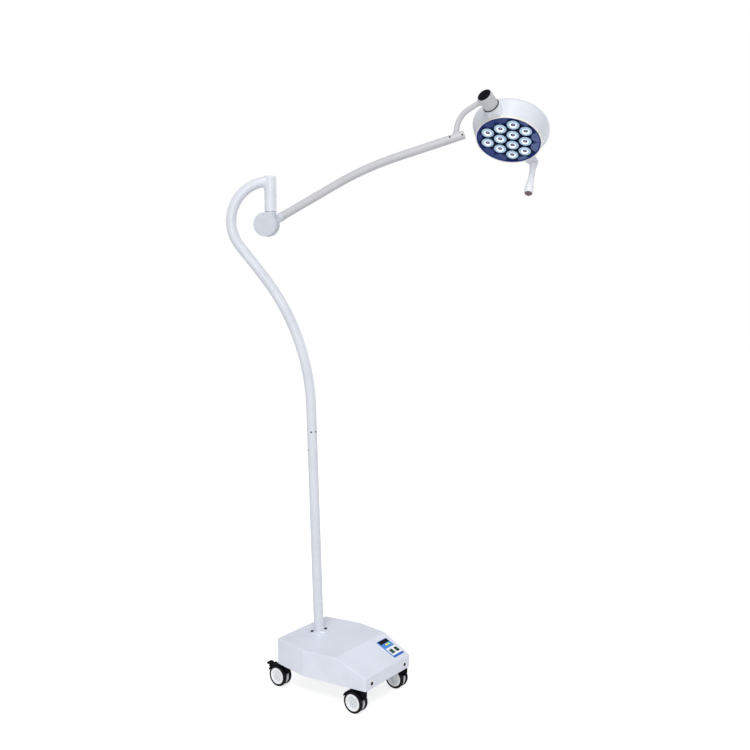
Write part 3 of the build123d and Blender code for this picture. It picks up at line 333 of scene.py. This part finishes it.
def face_navy():
    """The lit face's dark panel: cloudy gloss navy, with painted light that makes it lighter towards one
    side.
    """
    g = Graph("face_navy")
    # Painted light: the navy grows lighter towards -X of the face.
    side = g.remap(g.along(FACE.translation, FACE.col[0].xyz), -0.11, 0.11)
    tone = g.mix(side, (0.012, 0.032, 0.20), (0.008, 0.016, 0.10))
    cloud = g.noise(30, 4, 0.6)
    tone = g.mix(g.remap(cloud, 0.45, 0.75, 0.0, 0.6), tone, (0.03, 0.06, 0.24))
    g.set(Base_Color=tone, Roughness=g.remap(cloud, 0.3, 0.8, 0.22, 0.34), Specular_IOR_Level=0.08)
    g.bump([(g.voronoi(1100), 0.08, 0.0001), (cloud, 0.04, 0.0005)], 0.0004)
    return g.material


mat_navy = face_navy()
mat_bezel = glossy("bezel_deep_navy", (0.001, 0.002, 0.02), rough=0.25, coat=0.0, shine=0.06)


def blank_slate():
    """The blank cells' satin blue, with painted light that makes it paler towards one side."""
    g = Graph("blank_slate_blue")
    # Painted light: the blue grows paler along (0.6, -0.8, 0).
    side = g.remap(g.along(FACE.translation, (0.6, -0.8, 0.0)), -0.06, 0.11)
    cloud = g.noise(38, 4, 0.6)
    tone = g.mix(side, (0.03, 0.055, 0.21), (0.125, 0.17, 0.35))
    tone = g.mix(g.remap(cloud, 0.4, 0.75, 0.0, 0.5), tone, (0.06, 0.09, 0.26))
    g.set(Base_Color=tone, Roughness=g.remap(cloud, 0.3, 0.8, 0.26, 0.36), Specular_IOR_Level=0.15)
    g.bump([(g.voronoi(1100), 0.08, 0.0001), (cloud, 0.04, 0.0005)], 0.0004)
    return g.material


mat_blank = blank_slate()
mat_rim_blue = glossy("rim_blue", (0.003, 0.045, 0.33), rough=0.18, coat=0.05, shine=0.12)


def lens_material():
    """A pale blue collimator lens: painted shade makes it deeper blue where it turns away, rippled, with a
    faint cool glow of painted light.
    """
    g = Graph("lens_pale_blue")
    # Painted shade: the lens turns deeper blue where its surface turns away from the view.
    facing_shade = g.node("ShaderNodeLayerWeight")
    facing_shade.inputs["Blend"].default_value = 0.35
    tone = g.mix(facing_shade.outputs["Facing"], (0.52, 0.72, 0.90), (0.22, 0.42, 0.74))
    ripple = g.noise(160, 3, 0.5)
    # Painted light: a faint cool emission makes the lens glow though the lamp gives no light.
    g.set(Base_Color=tone, Roughness=g.remap(ripple, 0.3, 0.8, 0.10, 0.2), Coat_Weight=0.8,
          Coat_Roughness=0.05, Emission_Color=(0.42, 0.66, 1.0), Emission_Strength=0.06)
    g.bump([(ripple, 0.06, 0.0003)], 0.0003)
    return g.material


mat_lens = lens_material()
# Painted highlight: the lens's shoulder is near white and glows.
mat_lens_painted_highlight = glossy("lens_painted_highlight", (0.92, 0.96, 1.0), rough=0.08, glow=(0.85, 0.93, 1.0),
                         glow_strength=0.75)
mat_lens_shade = glossy("lens_shadow", (0.03, 0.06, 0.20), rough=0.2, coat=0.1)
# Painted light: the LED's chip glows faintly though the lamp gives no light.
mat_chip_painted_glow = glossy("led_chip", (0.30, 0.16, 0.20), rough=0.2, glow=(1.0, 0.8, 0.85), glow_strength=0.25)


# ---------------------------------------------------------------- mesh kit
def finish_mesh(name, bm, matrix, body, slot, material, angle=35, bevel=0.0, segments=2):
    """Turn a bmesh drawn in local millimetres into a piece that rides on a body."""
    bmesh.ops.recalc_face_normals(bm, faces=bm.faces)
    mesh = bpy.data.meshes.new(name)
    bm.to_mesh(mesh)
    bm.free()
    mesh.transform(matrix @ Matrix.Scale(MM, 4))
    for polygon in mesh.polygons:
        polygon.use_smooth = True
    mesh.set_sharp_from_angle(angle=math.radians(angle))
    mesh.materials.append(material)
    obj = bpy.data.objects.new(name, mesh)
    scene.collection.objects.link(obj)
    if bevel:
        b = obj.modifiers.new("edges", "BEVEL")
        b.width = bevel * MM
        b.segments = segments
        b.limit_method = "ANGLE"
        b.angle_limit = math.radians(30)
        b.harden_normals = True
    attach(obj, body)
    return obj


def lathe_into(bm, profile, steps):
    """Revolve (radius, z) points about local Z. A point with radius 0 closes the form."""
    rings = []
    for r, z in profile:
        if r < 1e-6:
            rings.append([bm.verts.new((0, 0, z))])
            continue
        ring = []
        for i in range(steps):
            a = 2 * math.pi * i / steps
            ring.append(bm.verts.new((r * math.cos(a), r * math.sin(a), z)))
        rings.append(ring)
    for low, high in zip(rings, rings[1:]):
        for i in range(steps):
            j = (i + 1) % steps
            if len(low) == 1 and len(high) == 1:
                continue
            if len(low) == 1:
                bm.faces.new((low[0], high[j], high[i]))
            elif len(high) == 1:
                bm.faces.new((low[i], low[j], high[0]))
            else:
                bm.faces.new((low[i], low[j], high[j], high[i]))


def lathe(name, profile, matrix, body, slot, material, steps=64, closed=False, **options):
    bm = bmesh.new()
    if closed:
        profile = list(profile) + [profile[0]]
    lathe_into(bm, profile, steps)
    bmesh.ops.remove_doubles(bm, verts=bm.verts, dist=1e-5)
    return finish_mesh(name, bm, matrix, body, slot, material, **options)


def prism_into(bm, outline, low, high, at=Matrix.Identity(4)):
    """A straight prism on an outline of (x, y) points, from z = low to z = high."""
    bottom = [bm.verts.new(at @ Vector((x, y, low))) for x, y in outline]
    top = [bm.verts.new(at @ Vector((x, y, high))) for x, y in outline]
    bm.faces.new(list(reversed(bottom)))
    bm.faces.new(top)
    n = len(outline)
    for i in range(n):
        j = (i + 1) % n
        bm.faces.new((bottom[i], bottom[j], top[j], top[i]))


def rounded(width, length, radius, steps=6, centre=(0, 0)):
    """The outline of a rectangle with round corners."""
    points = []
    for k, (sx, sy) in enumerate(((1, 1), (-1, 1), (-1, -1), (1, -1))):
        for i in range(steps + 1):
            a = math.radians(90 * k + 90 * i / steps)
            points.append((centre[0] + sx * (width / 2 - radius) + radius * math.cos(a),
                           centre[1] + sy * (length / 2 - radius) + radius * math.sin(a)))
    return points


def plate(name, outline, low, high, matrix, body, slot, material, **options):
    bm = bmesh.new()
    prism_into(bm, outline, low, high)
    return finish_mesh(name, bm, matrix, body, slot, material, **options)


# ---------------------------------------------------------------- carried-over CAD nodes
def wear(material, *names):
    """Give CAD nodes one material. Their meshes stay as packed."""
    for name in names:
        mesh = NODES[name].data
        mesh.materials.clear()
        mesh.materials.append(material)


CASTERS = ("fl", "fr", "rl", "rr")
wear(mat_paint, "base_cover", "mast_flange", "mast_pedestal")
wear(mat_paint_tube, "mast_lower_tube", "mast_upper_tube", "swivel_sleeve")
wear(mat_paint_elbow, "elbow_knuckle", "elbow_front_cap", "arm_knuckle", "elbow_rear_cap")
wear(mat_paint_arm_shaded, "arm_tube", "arm_end_block", "yoke_tube")
wear(mat_paint_barrel, "tilt_barrel")
wear(mat_paint_head, "head_shell", "handle_bracket")
wear(mat_ring, "front_ring")
wear(mat_navy, "lens_panel")
wear(mat_steel, "chassis_plate", "mast_joint_spigot", "caster_stems", "swivel_spindle", "tilt_spindle")
wear(mat_dark_steel, "mast_set_screws", "arm_end_screws", "elbow_bolt", "spindle_nut", "base_screws")
wear(mat_iron, "ballast_block")
wear(mat_bronze, "swivel_bushes", "inlet_pins")
wear(mat_black, "barrel_cap", "barrel_washer", "power_entry", "power_rocker", "caster_rl_brake",
     "caster_rr_brake", *(f"caster_{c}_fork" for c in CASTERS))
wear(mat_fibre, "friction_disc")
wear(mat_alloy, "heat_sink", "power_supply")
wear(mat_board, "control_board", "led_board")
wear(mat_film_white, "panel_overlay")
wear(mat_window, "display_window")
wear(mat_button, "button_dimmer")
wear(mat_button_dark, "button_brighter")
wear(mat_lens, "lenses")
wear(mat_cap_white, "handle")
for c in CASTERS:
    for s in ("outer", "inner"):
        wear(mat_tyre, f"caster_{c}_wheel_{s}")


# ---------------------------------------------------------------- caster wheels
WHEEL_HALF_WIDTH = 7.5


def wheel(caster, side):
    """One wheel: black tread, white ring in front and core behind, and a grey spoked hub with its cap."""
    joint = JOINTS[f"wheel_{caster}_{side}_roll"]
    body, node = f"wheel_{caster}_{side}", f"caster_{caster}_wheel_{side}"
    at = frame_at(joint["pos_m"], (0, 0, 1), (1, 0, 0))
    half = WHEEL_HALF_WIDTH
    tread = [(29.6, half - 1.2), (31.0, half - 0.3), (33.6, half - 0.1), (35.4, half - 0.8),
             (36.6, half - 2.0), (37.3, half - 3.8), (37.48, half - 5.2), (37.0, half - 5.7),
             (37.0, half - 6.3), (37.5, half - 6.8)]
    tread = tread + [(r, -z) for r, z in reversed(tread)] + [(28.8, 0)]
    tyre = lathe(f"{node}_tyre", tread, at, body, "tyre_grey", mat_tyre, steps=96, closed=True, angle=50)
    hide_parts(node)
    outward = 1 if joint["pos_m"][0] > JOINTS[f"caster_{caster}_swivel"]["pos_m"][0] else -1
    ring = [(21.3, half - 2.0), (22.0, half - 1.1), (23.2, half - 0.75), (27.4, half - 0.75),
            (28.7, half - 1.0), (29.3, half - 1.9)]
    core = [(34.2, 0.9 - half), (34.2, 0.12 - half), (33.4, -half), (23.2, -half), (21.3, 1.4 - half)]
    ring = [(r, z * outward) for r, z in ring + [(29.3, 0.9 - half)] + core]
    lathe(f"{node}_rim", ring, at, body, "white_plastic", mat_wheel_ring, steps=96, closed=True, angle=50)
    bm = bmesh.new()
    disc = [(4.3, half - 0.9), (5.6, half - 0.9), (6.4, half - 1.5), (7.0, half - 2.8), (15.0, half - 3.1),
            (19.6, half - 2.9), (20.6, half - 2.2), (21.6, half - 2.2)]
    disc = disc + [(r, -z) for r, z in reversed(disc)]
    lathe_into(bm, disc + [disc[0]], 96)
    bmesh.ops.remove_doubles(bm, verts=bm.verts, dist=1e-5)
    for face in (1, -1):
        for k in range(6):
            spoke = turn(60 * k, "Z") @ Matrix.Translation((12.6, 0, 0))
            low, high = sorted((face * (half - 3.2), face * (half - 2.35)))
            prism_into(bm, rounded(9.4, 1.9, 0.9, 3), low, high, spoke)
    finish_mesh(f"{node}_hub", bm, at, body, "grey_plastic", mat_wheel_hub, angle=40)
    cap = [(0, half - 0.25), (2.6, half - 0.3), (3.7, half - 0.7), (4.1, half - 1.4), (4.1, half - 2.4),
           (0, half - 2.4)]
    lathe(f"{node}_axle_cap", [(r, z * outward) for r, z in cap], at, body, "grey_plastic", mat_wheel_hub,
          steps=32)


for c in CASTERS:
    for s in ("outer", "inner"):
        wheel(c, s)


def pedal_pad(caster):
    """Raised grip bars on the brake pedal's tab."""
    joint = JOINTS[f"brake_{caster}_press"]
    at = frame_at(joint["pos_m"], (1, 0, 0), (0, 0, 1)) @ turn(10, "X")
    bm = bmesh.new()
    for k, width in enumerate((17, 20, 22, 19)):
        prism_into(bm, rounded(width, 1.6, 0.75, 4, (0, 7.5 + 3.8 * k)), 1.8, 2.7)
    finish_mesh(f"brake_{caster}_grip", bm, at, f"brake_{caster}", "black_plastic", mat_tyre, bevel=0.25)


pedal_pad("rl")
pedal_pad("rr")


# ---------------------------------------------------------------- control panel
# Millimetres in the PANEL frame: X across, Y up the slope, and Z out of the base's cover.
PRINT_RIGHT, PRINT_TOP = 29.4, 44.4
FIELD_BOTTOM, BAR_TOP, SIDE_BOTTOM, SIDE_RIGHT = 3.0, -34.5, -34.0, -23.0
WINDOW_AT, WINDOW_SIZE = (3.0, 34.0), (49.0, 16.0)
LIGHTS_Y = 18.0
LIGHTS = (("amber", 1.0, mat_amber), ("lime", 13.0, mat_lime))
BUTTONS_Y = -16.0
BUTTONS = (("button_dimmer", -8.5, -1), ("button_brighter", 18.0, 1))


def film(name, outline, material, high=1.62):
    """A printed patch on the overlay."""
    plate(name, outline, OVERLAY_THICKNESS, high, PANEL, "base", "overlay_blue", material, bevel=0.04,
          segments=1)


def patch(name, left, right, bottom, top, material):
    film(name, [(left, bottom), (right, bottom), (right, top), (left, top)], material)


def panel_prints():
    """The blue fields round the window, the two status lights and the buttons' chevrons."""
    window_left, window_right = (WINDOW_AT[0] + side * (WINDOW_SIZE[0] / 2 + 0.4) for side in (-1, 1))
    window_bottom, window_top = (WINDOW_AT[1] + side * (WINDOW_SIZE[1] / 2 + 0.4) for side in (-1, 1))
    left, right, top, bottom = -PRINT_RIGHT, PRINT_RIGHT, PRINT_TOP, -PRINT_TOP
    patch("print_field", left, right, FIELD_BOTTOM, window_bottom, mat_film_blue)
    patch("print_top", left, right, window_top, top, mat_film_blue)
    patch("print_window_left", left, window_left, window_bottom, window_top, mat_film_blue)
    patch("print_window_right", window_right, right, window_bottom, window_top, mat_film_blue)
    patch("print_side", left, SIDE_RIGHT, SIDE_BOTTOM, FIELD_BOTTOM, mat_film_blue)
    patch("print_bar", left, right, bottom, BAR_TOP, mat_film_deep)
    edge = rounded(WINDOW_SIZE[0] + 2, WINDOW_SIZE[1] + 2, 1.6, 5, WINDOW_AT)
    film("print_window_edge", edge, mat_window, 1.56)
    for name, x, material in LIGHTS:
        at = PANEL @ shift(x, LIGHTS_Y, 0)
        dome = [(4.3, 1.5), (4.3, 2.0), (3.6, 2.6), (2.0, 3.05), (0, 3.2)]
        lathe(f"status_light_{name}", dome, at, "base", "overlay_blue", material, steps=32)
        bezel = [(4.4, 1.55), (4.4, 1.95), (4.9, 1.95), (5.1, 1.55)]
        lathe(f"status_bezel_{name}", bezel, at, "base", "window_black", mat_window, steps=32, closed=True)
    for body, x, direction in BUTTONS:
        tip, foot, thickness = 5.0 * direction, -3.0 * direction, 2.4 * direction
        chevron = [(-4.6, foot), (-4.6, foot + thickness), (0, tip), (4.6, foot + thickness), (4.6, foot),
                   (0, tip - thickness)]
        plate(f"{body}_icon", chevron, 2.62, 2.86, PANEL @ shift(x, BUTTONS_Y, 0), body, "button_green",
              mat_icon, bevel=0.06)


panel_prints()


# ---------------------------------------------------------------- lit face
# Twelve lenses stand in four columns of a honeycomb. Light leaves along -Z of FACE and GRID.
PITCH, COUNTS = 49.3, (2, 3, 4, 3)
COLUMN_STEP = PITCH * math.sqrt(3) / 2
GRID = FACE @ shift(-5.0, 6.0, 0) @ turn(-63.5, "Z")
BLANK_REACH = 105.0


def column_x(column):
    return (column - (len(COUNTS) - 1) / 2) * COLUMN_STEP


def hexagon(reach):
    corners = [math.radians(30 + 60 * k) for k in range(6)]
    return [(reach * math.cos(a), reach * math.sin(a)) for a in corners]


def bezel_into(bm, x, y):
    """A six-sided collar with a round, flared mouth around one lens."""
    steps = 48
    apothem = PITCH / 2 - 0.35

    def hex_radius(a):
        sector = (a % (math.pi / 3)) - math.pi / 6
        return min(apothem / math.cos(sector), apothem * 1.10)

    levels = [("hex", 1.0, 1.2), ("hex", 1.0, -0.9), ("hex", 0.965, -1.5), ("round", 22.3, -1.3),
              ("round", 21.5, -0.6), ("round", 21.5, 1.2)]
    rings = []
    for kind, size, z in levels:
        ring = []
        for i in range(steps):
            a = 2 * math.pi * i / steps
            r = hex_radius(a) * size if kind == "hex" else size
            ring.append(bm.verts.new((x + r * math.cos(a), y + r * math.sin(a), z)))
        rings.append(ring)
    for low, high in zip(rings, rings[1:] + rings[:1]):
        for i in range(steps):
            j = (i + 1) % steps
            bm.faces.new((low[i], low[j], high[j], high[i]))


def lens_pieces(x, y, index):
    """One collimator: stepped optic, a shoulder painted bright and glowing as a highlight, a well painted
    dark as shadow and the LED's chip with a faint painted glow.
    """
    at = GRID @ shift(x, y, 0)
    name = f"lens_{index:02d}"
    optic = [(21.15, 1.4), (21.15, -0.4), (20.4, -1.1), (18.8, -1.7), (16.6, -2.1), (16.2, -1.9),
             (13.4, -2.35), (12.9, -2.0), (12.2, -1.0), (11.8, 1.4)]
    lathe(f"{name}_optic", optic, at, "head", "lens_clear", mat_lens, closed=True, angle=28)
    shoulder = [(11.9, 1.2), (11.9, -1.7), (11.0, -1.9), (9.4, -1.2), (8.0, 0.5), (7.8, 1.2)]
    lathe(f"{name}_shoulder", shoulder, at, "head", "lens_clear", mat_lens_painted_highlight, steps=48, closed=True)
    well = [(8.0, 1.0), (6.4, 0.3), (4.4, 1.0), (3.0, 1.2), (0, 1.2)]
    lathe(f"{name}_well", well, at, "head", "lens_clear", mat_lens_shade, steps=40)
    chip = [(0, 0.2), (1.6, 0.35), (2.7, 0.8), (2.9, 1.3), (0, 1.3)]
    lathe(f"{name}_chip", chip, at, "head", "lens_clear", mat_chip_painted_glow, steps=24)


def blank_into(bm, x, y, centre):
    """A flat six-sided plate at an empty place of the honeycomb, cut back to the ring where it reaches it."""
    outline = []
    corners = hexagon(PITCH / 2 * 1.04)
    for (ax, ay), (bx, by) in zip(corners, corners[1:] + corners[:1]):
        for step in range(8):
            px = x + ax + (bx - ax) * step / 8 - centre.x
            py = y + ay + (by - ay) * step / 8 - centre.y
            cut = min(1.0, BLANK_REACH / math.hypot(px, py))
            outline.append((centre.x + px * cut, centre.y + py * cut))
    prism_into(bm, outline, -0.2, 1.05)


def lit_face():
    """The lenses in their bezels, the blank cells round them and the blue rim."""
    bm = bmesh.new()
    index = 0
    used = set()
    for column, count in enumerate(COUNTS):
        for row in range(count):
            x, y = column_x(column), (row - (count - 1) / 2) * PITCH
            used.add((round(x), round(y)))
            bezel_into(bm, x, y)
            lens_pieces(x, y, index)
            index += 1
    finish_mesh("lens_bezels", bm, GRID, "head", "panel_navy", mat_bezel, angle=30)
    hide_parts("lenses")
    bm = bmesh.new()
    centre = (GRID.inverted() @ FACE.translation) / MM
    for column in range(-1, 6):
        for row in range(-4, 5):
            x, y = column_x(column), (row + (0.5 if column % 2 == 0 else 0.0)) * PITCH
            near = math.hypot(x - centre.x, y - centre.y) < BLANK_REACH + 15
            if near and (round(x), round(y)) not in used:
                blank_into(bm, x, y, centre)
    finish_mesh("blank_cells", bm, GRID, "head", "panel_navy", mat_blank, bevel=0.5)
    rim = [(108.9, 1.2), (109.35, -1.2), (108.4, -1.6), (106.6, -0.4), (106.2, 1.2)]
    lathe("face_rim", rim, FACE, "head", "panel_navy", mat_rim_blue, steps=160, closed=True, angle=40)


lit_face()


# ---------------------------------------------------------------- handle
def grip():
    """The handle's waisted grip, hollow for its spigot, with a band at the top and a plug below whose dark
    brown is painted shadow.
    """
    profile = [(6.1, -0.35), (12.6, -0.35), (13.3, -0.9), (13.35, -4.5), (12.9, -10), (11.9, -19),
               (10.95, -31), (10.5, -43), (10.55, -54), (11.1, -64), (12.2, -76), (13.6, -88), (14.9, -99),
               (15.7, -108), (15.95, -115), (15.85, -119), (15.35, -122.0), (14.6, -124.6), (13.3, -127.4),
               (12.9, -127.6), (6.1, -127.6)]
    piece = lathe("handle_grip", profile, HANDLE, "handle", "white_plastic", mat_cap_white, steps=72,
                  closed=True, angle=40)
    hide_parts("handle")
    plug = [(0, -127.6), (12.8, -127.6), (12.9, -127.9), (11.9, -129.3), (10.0, -130.9), (7.4, -132.3),
            (3.8, -133.5), (0, -134.0)]
    lathe("handle_plug", plug, HANDLE, "handle", "black_plastic", mat_plug_painted_shadow, steps=72, angle=50)
    band = [(13.36, -5.2), (13.6, -5.8), (13.6, -7.4), (13.2, -8.0), (12.4, -8.0), (12.4, -5.2)]
    lathe("handle_band", band, HANDLE, "handle", "white_plastic", mat_wheel_ring, steps=72, closed=True)


grip()


# ---------------------------------------------------------------- small fastenings and seams
# Millimetres, and bearings in degrees from +X.
COVER_SCREWS = ((-95, -190), (95, -190), (-112, 202), (112, 202))
COVER_SCREW_HEIGHT = 104
FLANGE_TOP, FLANGE_SCREW_RADIUS = 184.3, 27
COVERED_SCREWS = (-115.0, 65.0)
TUBE_RADIUS, SLEEVE_RADIUS = 17.5, 20.5
LOOP_BEARING = -53
BEAD_SIZE, BEAD_GROWTH = 3.6, 12.0


def screw_washers():
    """White washers under the four screws of the base's cover."""
    for k, (x, y) in enumerate(COVER_SCREWS):
        side = -1 if y < 0 else 1
        at = frame_at((x * MM, y * MM, COVER_SCREW_HEIGHT * MM), (1, 0, 0), (0, side, 0))
        ring = [(6.15, 0.05), (9.6, 0.05), (9.6, 0.5), (9.1, 0.9), (6.15, 0.9)]
        lathe(f"cover_washer_{k}", ring, at, "base", "white_plastic", mat_wheel_ring, steps=48, closed=True)


screw_washers()


def flange_covers():
    """White snap-on covers over two of the flange's four screws."""
    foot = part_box("mast_flange")
    middle = (foot[0] + foot[1]) / 2
    for k, bearing in enumerate(COVERED_SCREWS):
        at = Matrix.Translation((middle.x, middle.y, FLANGE_TOP * MM)) @ turn(bearing, "Z")
        at = at @ shift(FLANGE_SCREW_RADIUS, 0, 0)
        cover = [(5.58, 0.05), (5.95, 0.05), (5.95, 2.7), (5.3, 3.4), (3.4, 3.8), (0, 3.95), (0, 3.25),
                 (5.2, 3.15), (5.58, 2.9)]
        lathe(f"flange_cover_{k}", cover, at, "base", "white_plastic", mat_wheel_ring, steps=40, closed=True)


flange_covers()


def barrel_seal():
    """The black seal between the barrel and the head's boss, with a lip that stands just proud."""
    ring = [(10.6, 34.1), (10.6, 35.9), (26.8, 35.9), (28.0, 35.6), (28.4, 35.0), (28.0, 34.4), (26.8, 34.1)]
    seal = lathe("barrel_seal", ring, BARREL, "barrel", "black_plastic", mat_black, steps=72, closed=True)
    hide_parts("barrel_washer")


barrel_seal()


def weld_bead():
    """The welded seam where the mast's loop runs into the sleeve: a hollow fillet, deepest underneath."""
    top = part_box("mast_upper_tube")[1].z
    radius, sleeve = TUBE_RADIUS, SLEEVE_RADIUS
    mast = SLEEVE @ Matrix.Translation((0, 0, top - radius * MM)) @ turn(LOOP_BEARING, "Z")
    bm = bmesh.new()
    rings = []
    around, across = 72, 8
    for i in range(around):
        a = 2 * math.pi * i / around
        y, z = radius * math.cos(a), radius * math.sin(a)
        x = -math.sqrt(sleeve ** 2 - y ** 2)
        point = Vector((x, y, z))
        outward = Vector((0, math.cos(a), math.sin(a)))
        from_sleeve = Vector((x / sleeve, y / sleeve, 0))
        up_sleeve = (outward - from_sleeve * outward.dot(from_sleeve)).normalized()
        bead = BEAD_SIZE + BEAD_GROWTH * max(0.0, -math.sin(a)) ** 2
        ring = []
        for k in range(across + 1):
            t = k / across
            blend = (up_sleeve * bead * (1 - t) ** 2) + (Vector((-1, 0, 0)) * bead * t ** 2)
            sink = from_sleeve * (bead * (1 - t) ** 2) ** 2 / (2 * sleeve) * (1 - abs(math.sin(a)))
            ring.append(bm.verts.new(point + blend - sink))
        ring.append(bm.verts.new(point - outward * 0.4 - from_sleeve * 0.4))
        rings.append(ring)
    for i in range(around):
        low, high = rings[i], rings[(i + 1) % around]
        for k in range(len(low)):
            m = (k + 1) % len(low)
            bm.faces.new((low[k], low[m], high[m], high[k]))
    finish_mesh("sleeve_weld", bm, mast, "base", "white_paint", mat_paint_tube, angle=60)


weld_bead()


# ---------------------------------------------------------------- floor, light, camera
FLOOR_GLOW, FLOOR_WHITE = 0.18, 0.52


def studio_floor():
    """A pale floor that reads as the white backdrop, with only a soft shadow under the base."""
    floor_bm = bmesh.new()
    bmesh.ops.create_circle(floor_bm, cap_ends=True, segments=96, radius=14.0)
    mesh = bpy.data.meshes.new("studio_floor")
    floor_bm.to_mesh(mesh)
    floor_bm.free()
    floor = bpy.data.objects.new("studio_floor", mesh)
    scene.collection.objects.link(floor)
    g = Graph("studio_white")
    haze = g.noise(0.8, 3, 0.5)
    seen = g.node("ShaderNodeLightPath").outputs["Is Camera Ray"]
    glow = g.math("ADD", g.math("MULTIPLY", seen, FLOOR_WHITE), FLOOR_GLOW)
    g.set(Base_Color=g.mix(haze, (0.60, 0.60, 0.60), (0.63, 0.63, 0.63)), Roughness=0.95,
          Specular_IOR_Level=0.1, Emission_Color=(1.0, 1.0, 1.0), Emission_Strength=glow)
    g.bump([(haze, 0.02, 0.001)])
    mesh.materials.append(g.material)


def studio_world():
    """Soft, even room light, in front of a plain white backdrop."""
    world = bpy.data.worlds.new("studio_world")
    world.use_nodes = True
    tree = world.node_tree
    tree.nodes.clear()
    out = tree.nodes.new("ShaderNodeOutputWorld")
    soft, white = tree.nodes.new("ShaderNodeBackground"), tree.nodes.new("ShaderNodeBackground")
    mix, path = tree.nodes.new("ShaderNodeMixShader"), tree.nodes.new("ShaderNodeLightPath")
    soft.inputs["Color"].default_value = (0.96, 0.975, 1.0, 1)
    soft.inputs["Strength"].default_value = 0.55
    white.inputs["Color"].default_value = (1, 1, 1, 1)
    tree.links.new(path.outputs["Is Camera Ray"], mix.inputs[0])
    tree.links.new(soft.outputs[0], mix.inputs[1])
    tree.links.new(white.outputs[0], mix.inputs[2])
    tree.links.new(mix.outputs[0], out.inputs[0])
    scene.world = world


def area(name, location, target, size, power, colour):
    """A round area light that faces a target."""
    light = bpy.data.lights.new(name, "AREA")
    light.shape = "DISK"
    light.size = size
    light.energy = power
    light.color = colour
    obj = bpy.data.objects.new(name, light)
    obj.location = location
    obj.rotation_euler = (Vector(target) - Vector(location)).to_track_quat("-Z", "Y").to_euler()
    scene.collection.objects.link(obj)


def studio():
    studio_floor()
    studio_world()
    area("key", (-5.0, -3.3, 7.6), (0.0, 0.0, 1.0), 3.8, 330, (1.0, 0.995, 0.985))
    area("front", (-4.6, -3.2, 2.2), (0.0, 0.0, 1.1), 2.4, 42, (1.0, 1.0, 1.0))
    area("side", (4.6, -1.3, 1.9), (0.0, 0.0, 1.2), 2.2, 28, (0.97, 0.985, 1.0))


studio()

# The camera looks 6 degrees down, level from side to side.
CAMERA_PLACE, CAMERA_TILT, CAMERA_HEADING = (-2.409, -1.944, 1.448), 84.0, -53.06
camera_data = bpy.data.cameras.new("camera")
camera_data.lens = 43.4
camera_data.sensor_width = 36.0
camera_data.clip_end = 60.0
camera = bpy.data.objects.new("camera", camera_data)
camera.location = CAMERA_PLACE
camera.rotation_euler = (math.radians(CAMERA_TILT), 0.0, math.radians(CAMERA_HEADING))
scene.collection.objects.link(camera)
scene.camera = camera
scene.view_settings.view_transform = "Standard"
scene.view_settings.look = "None"
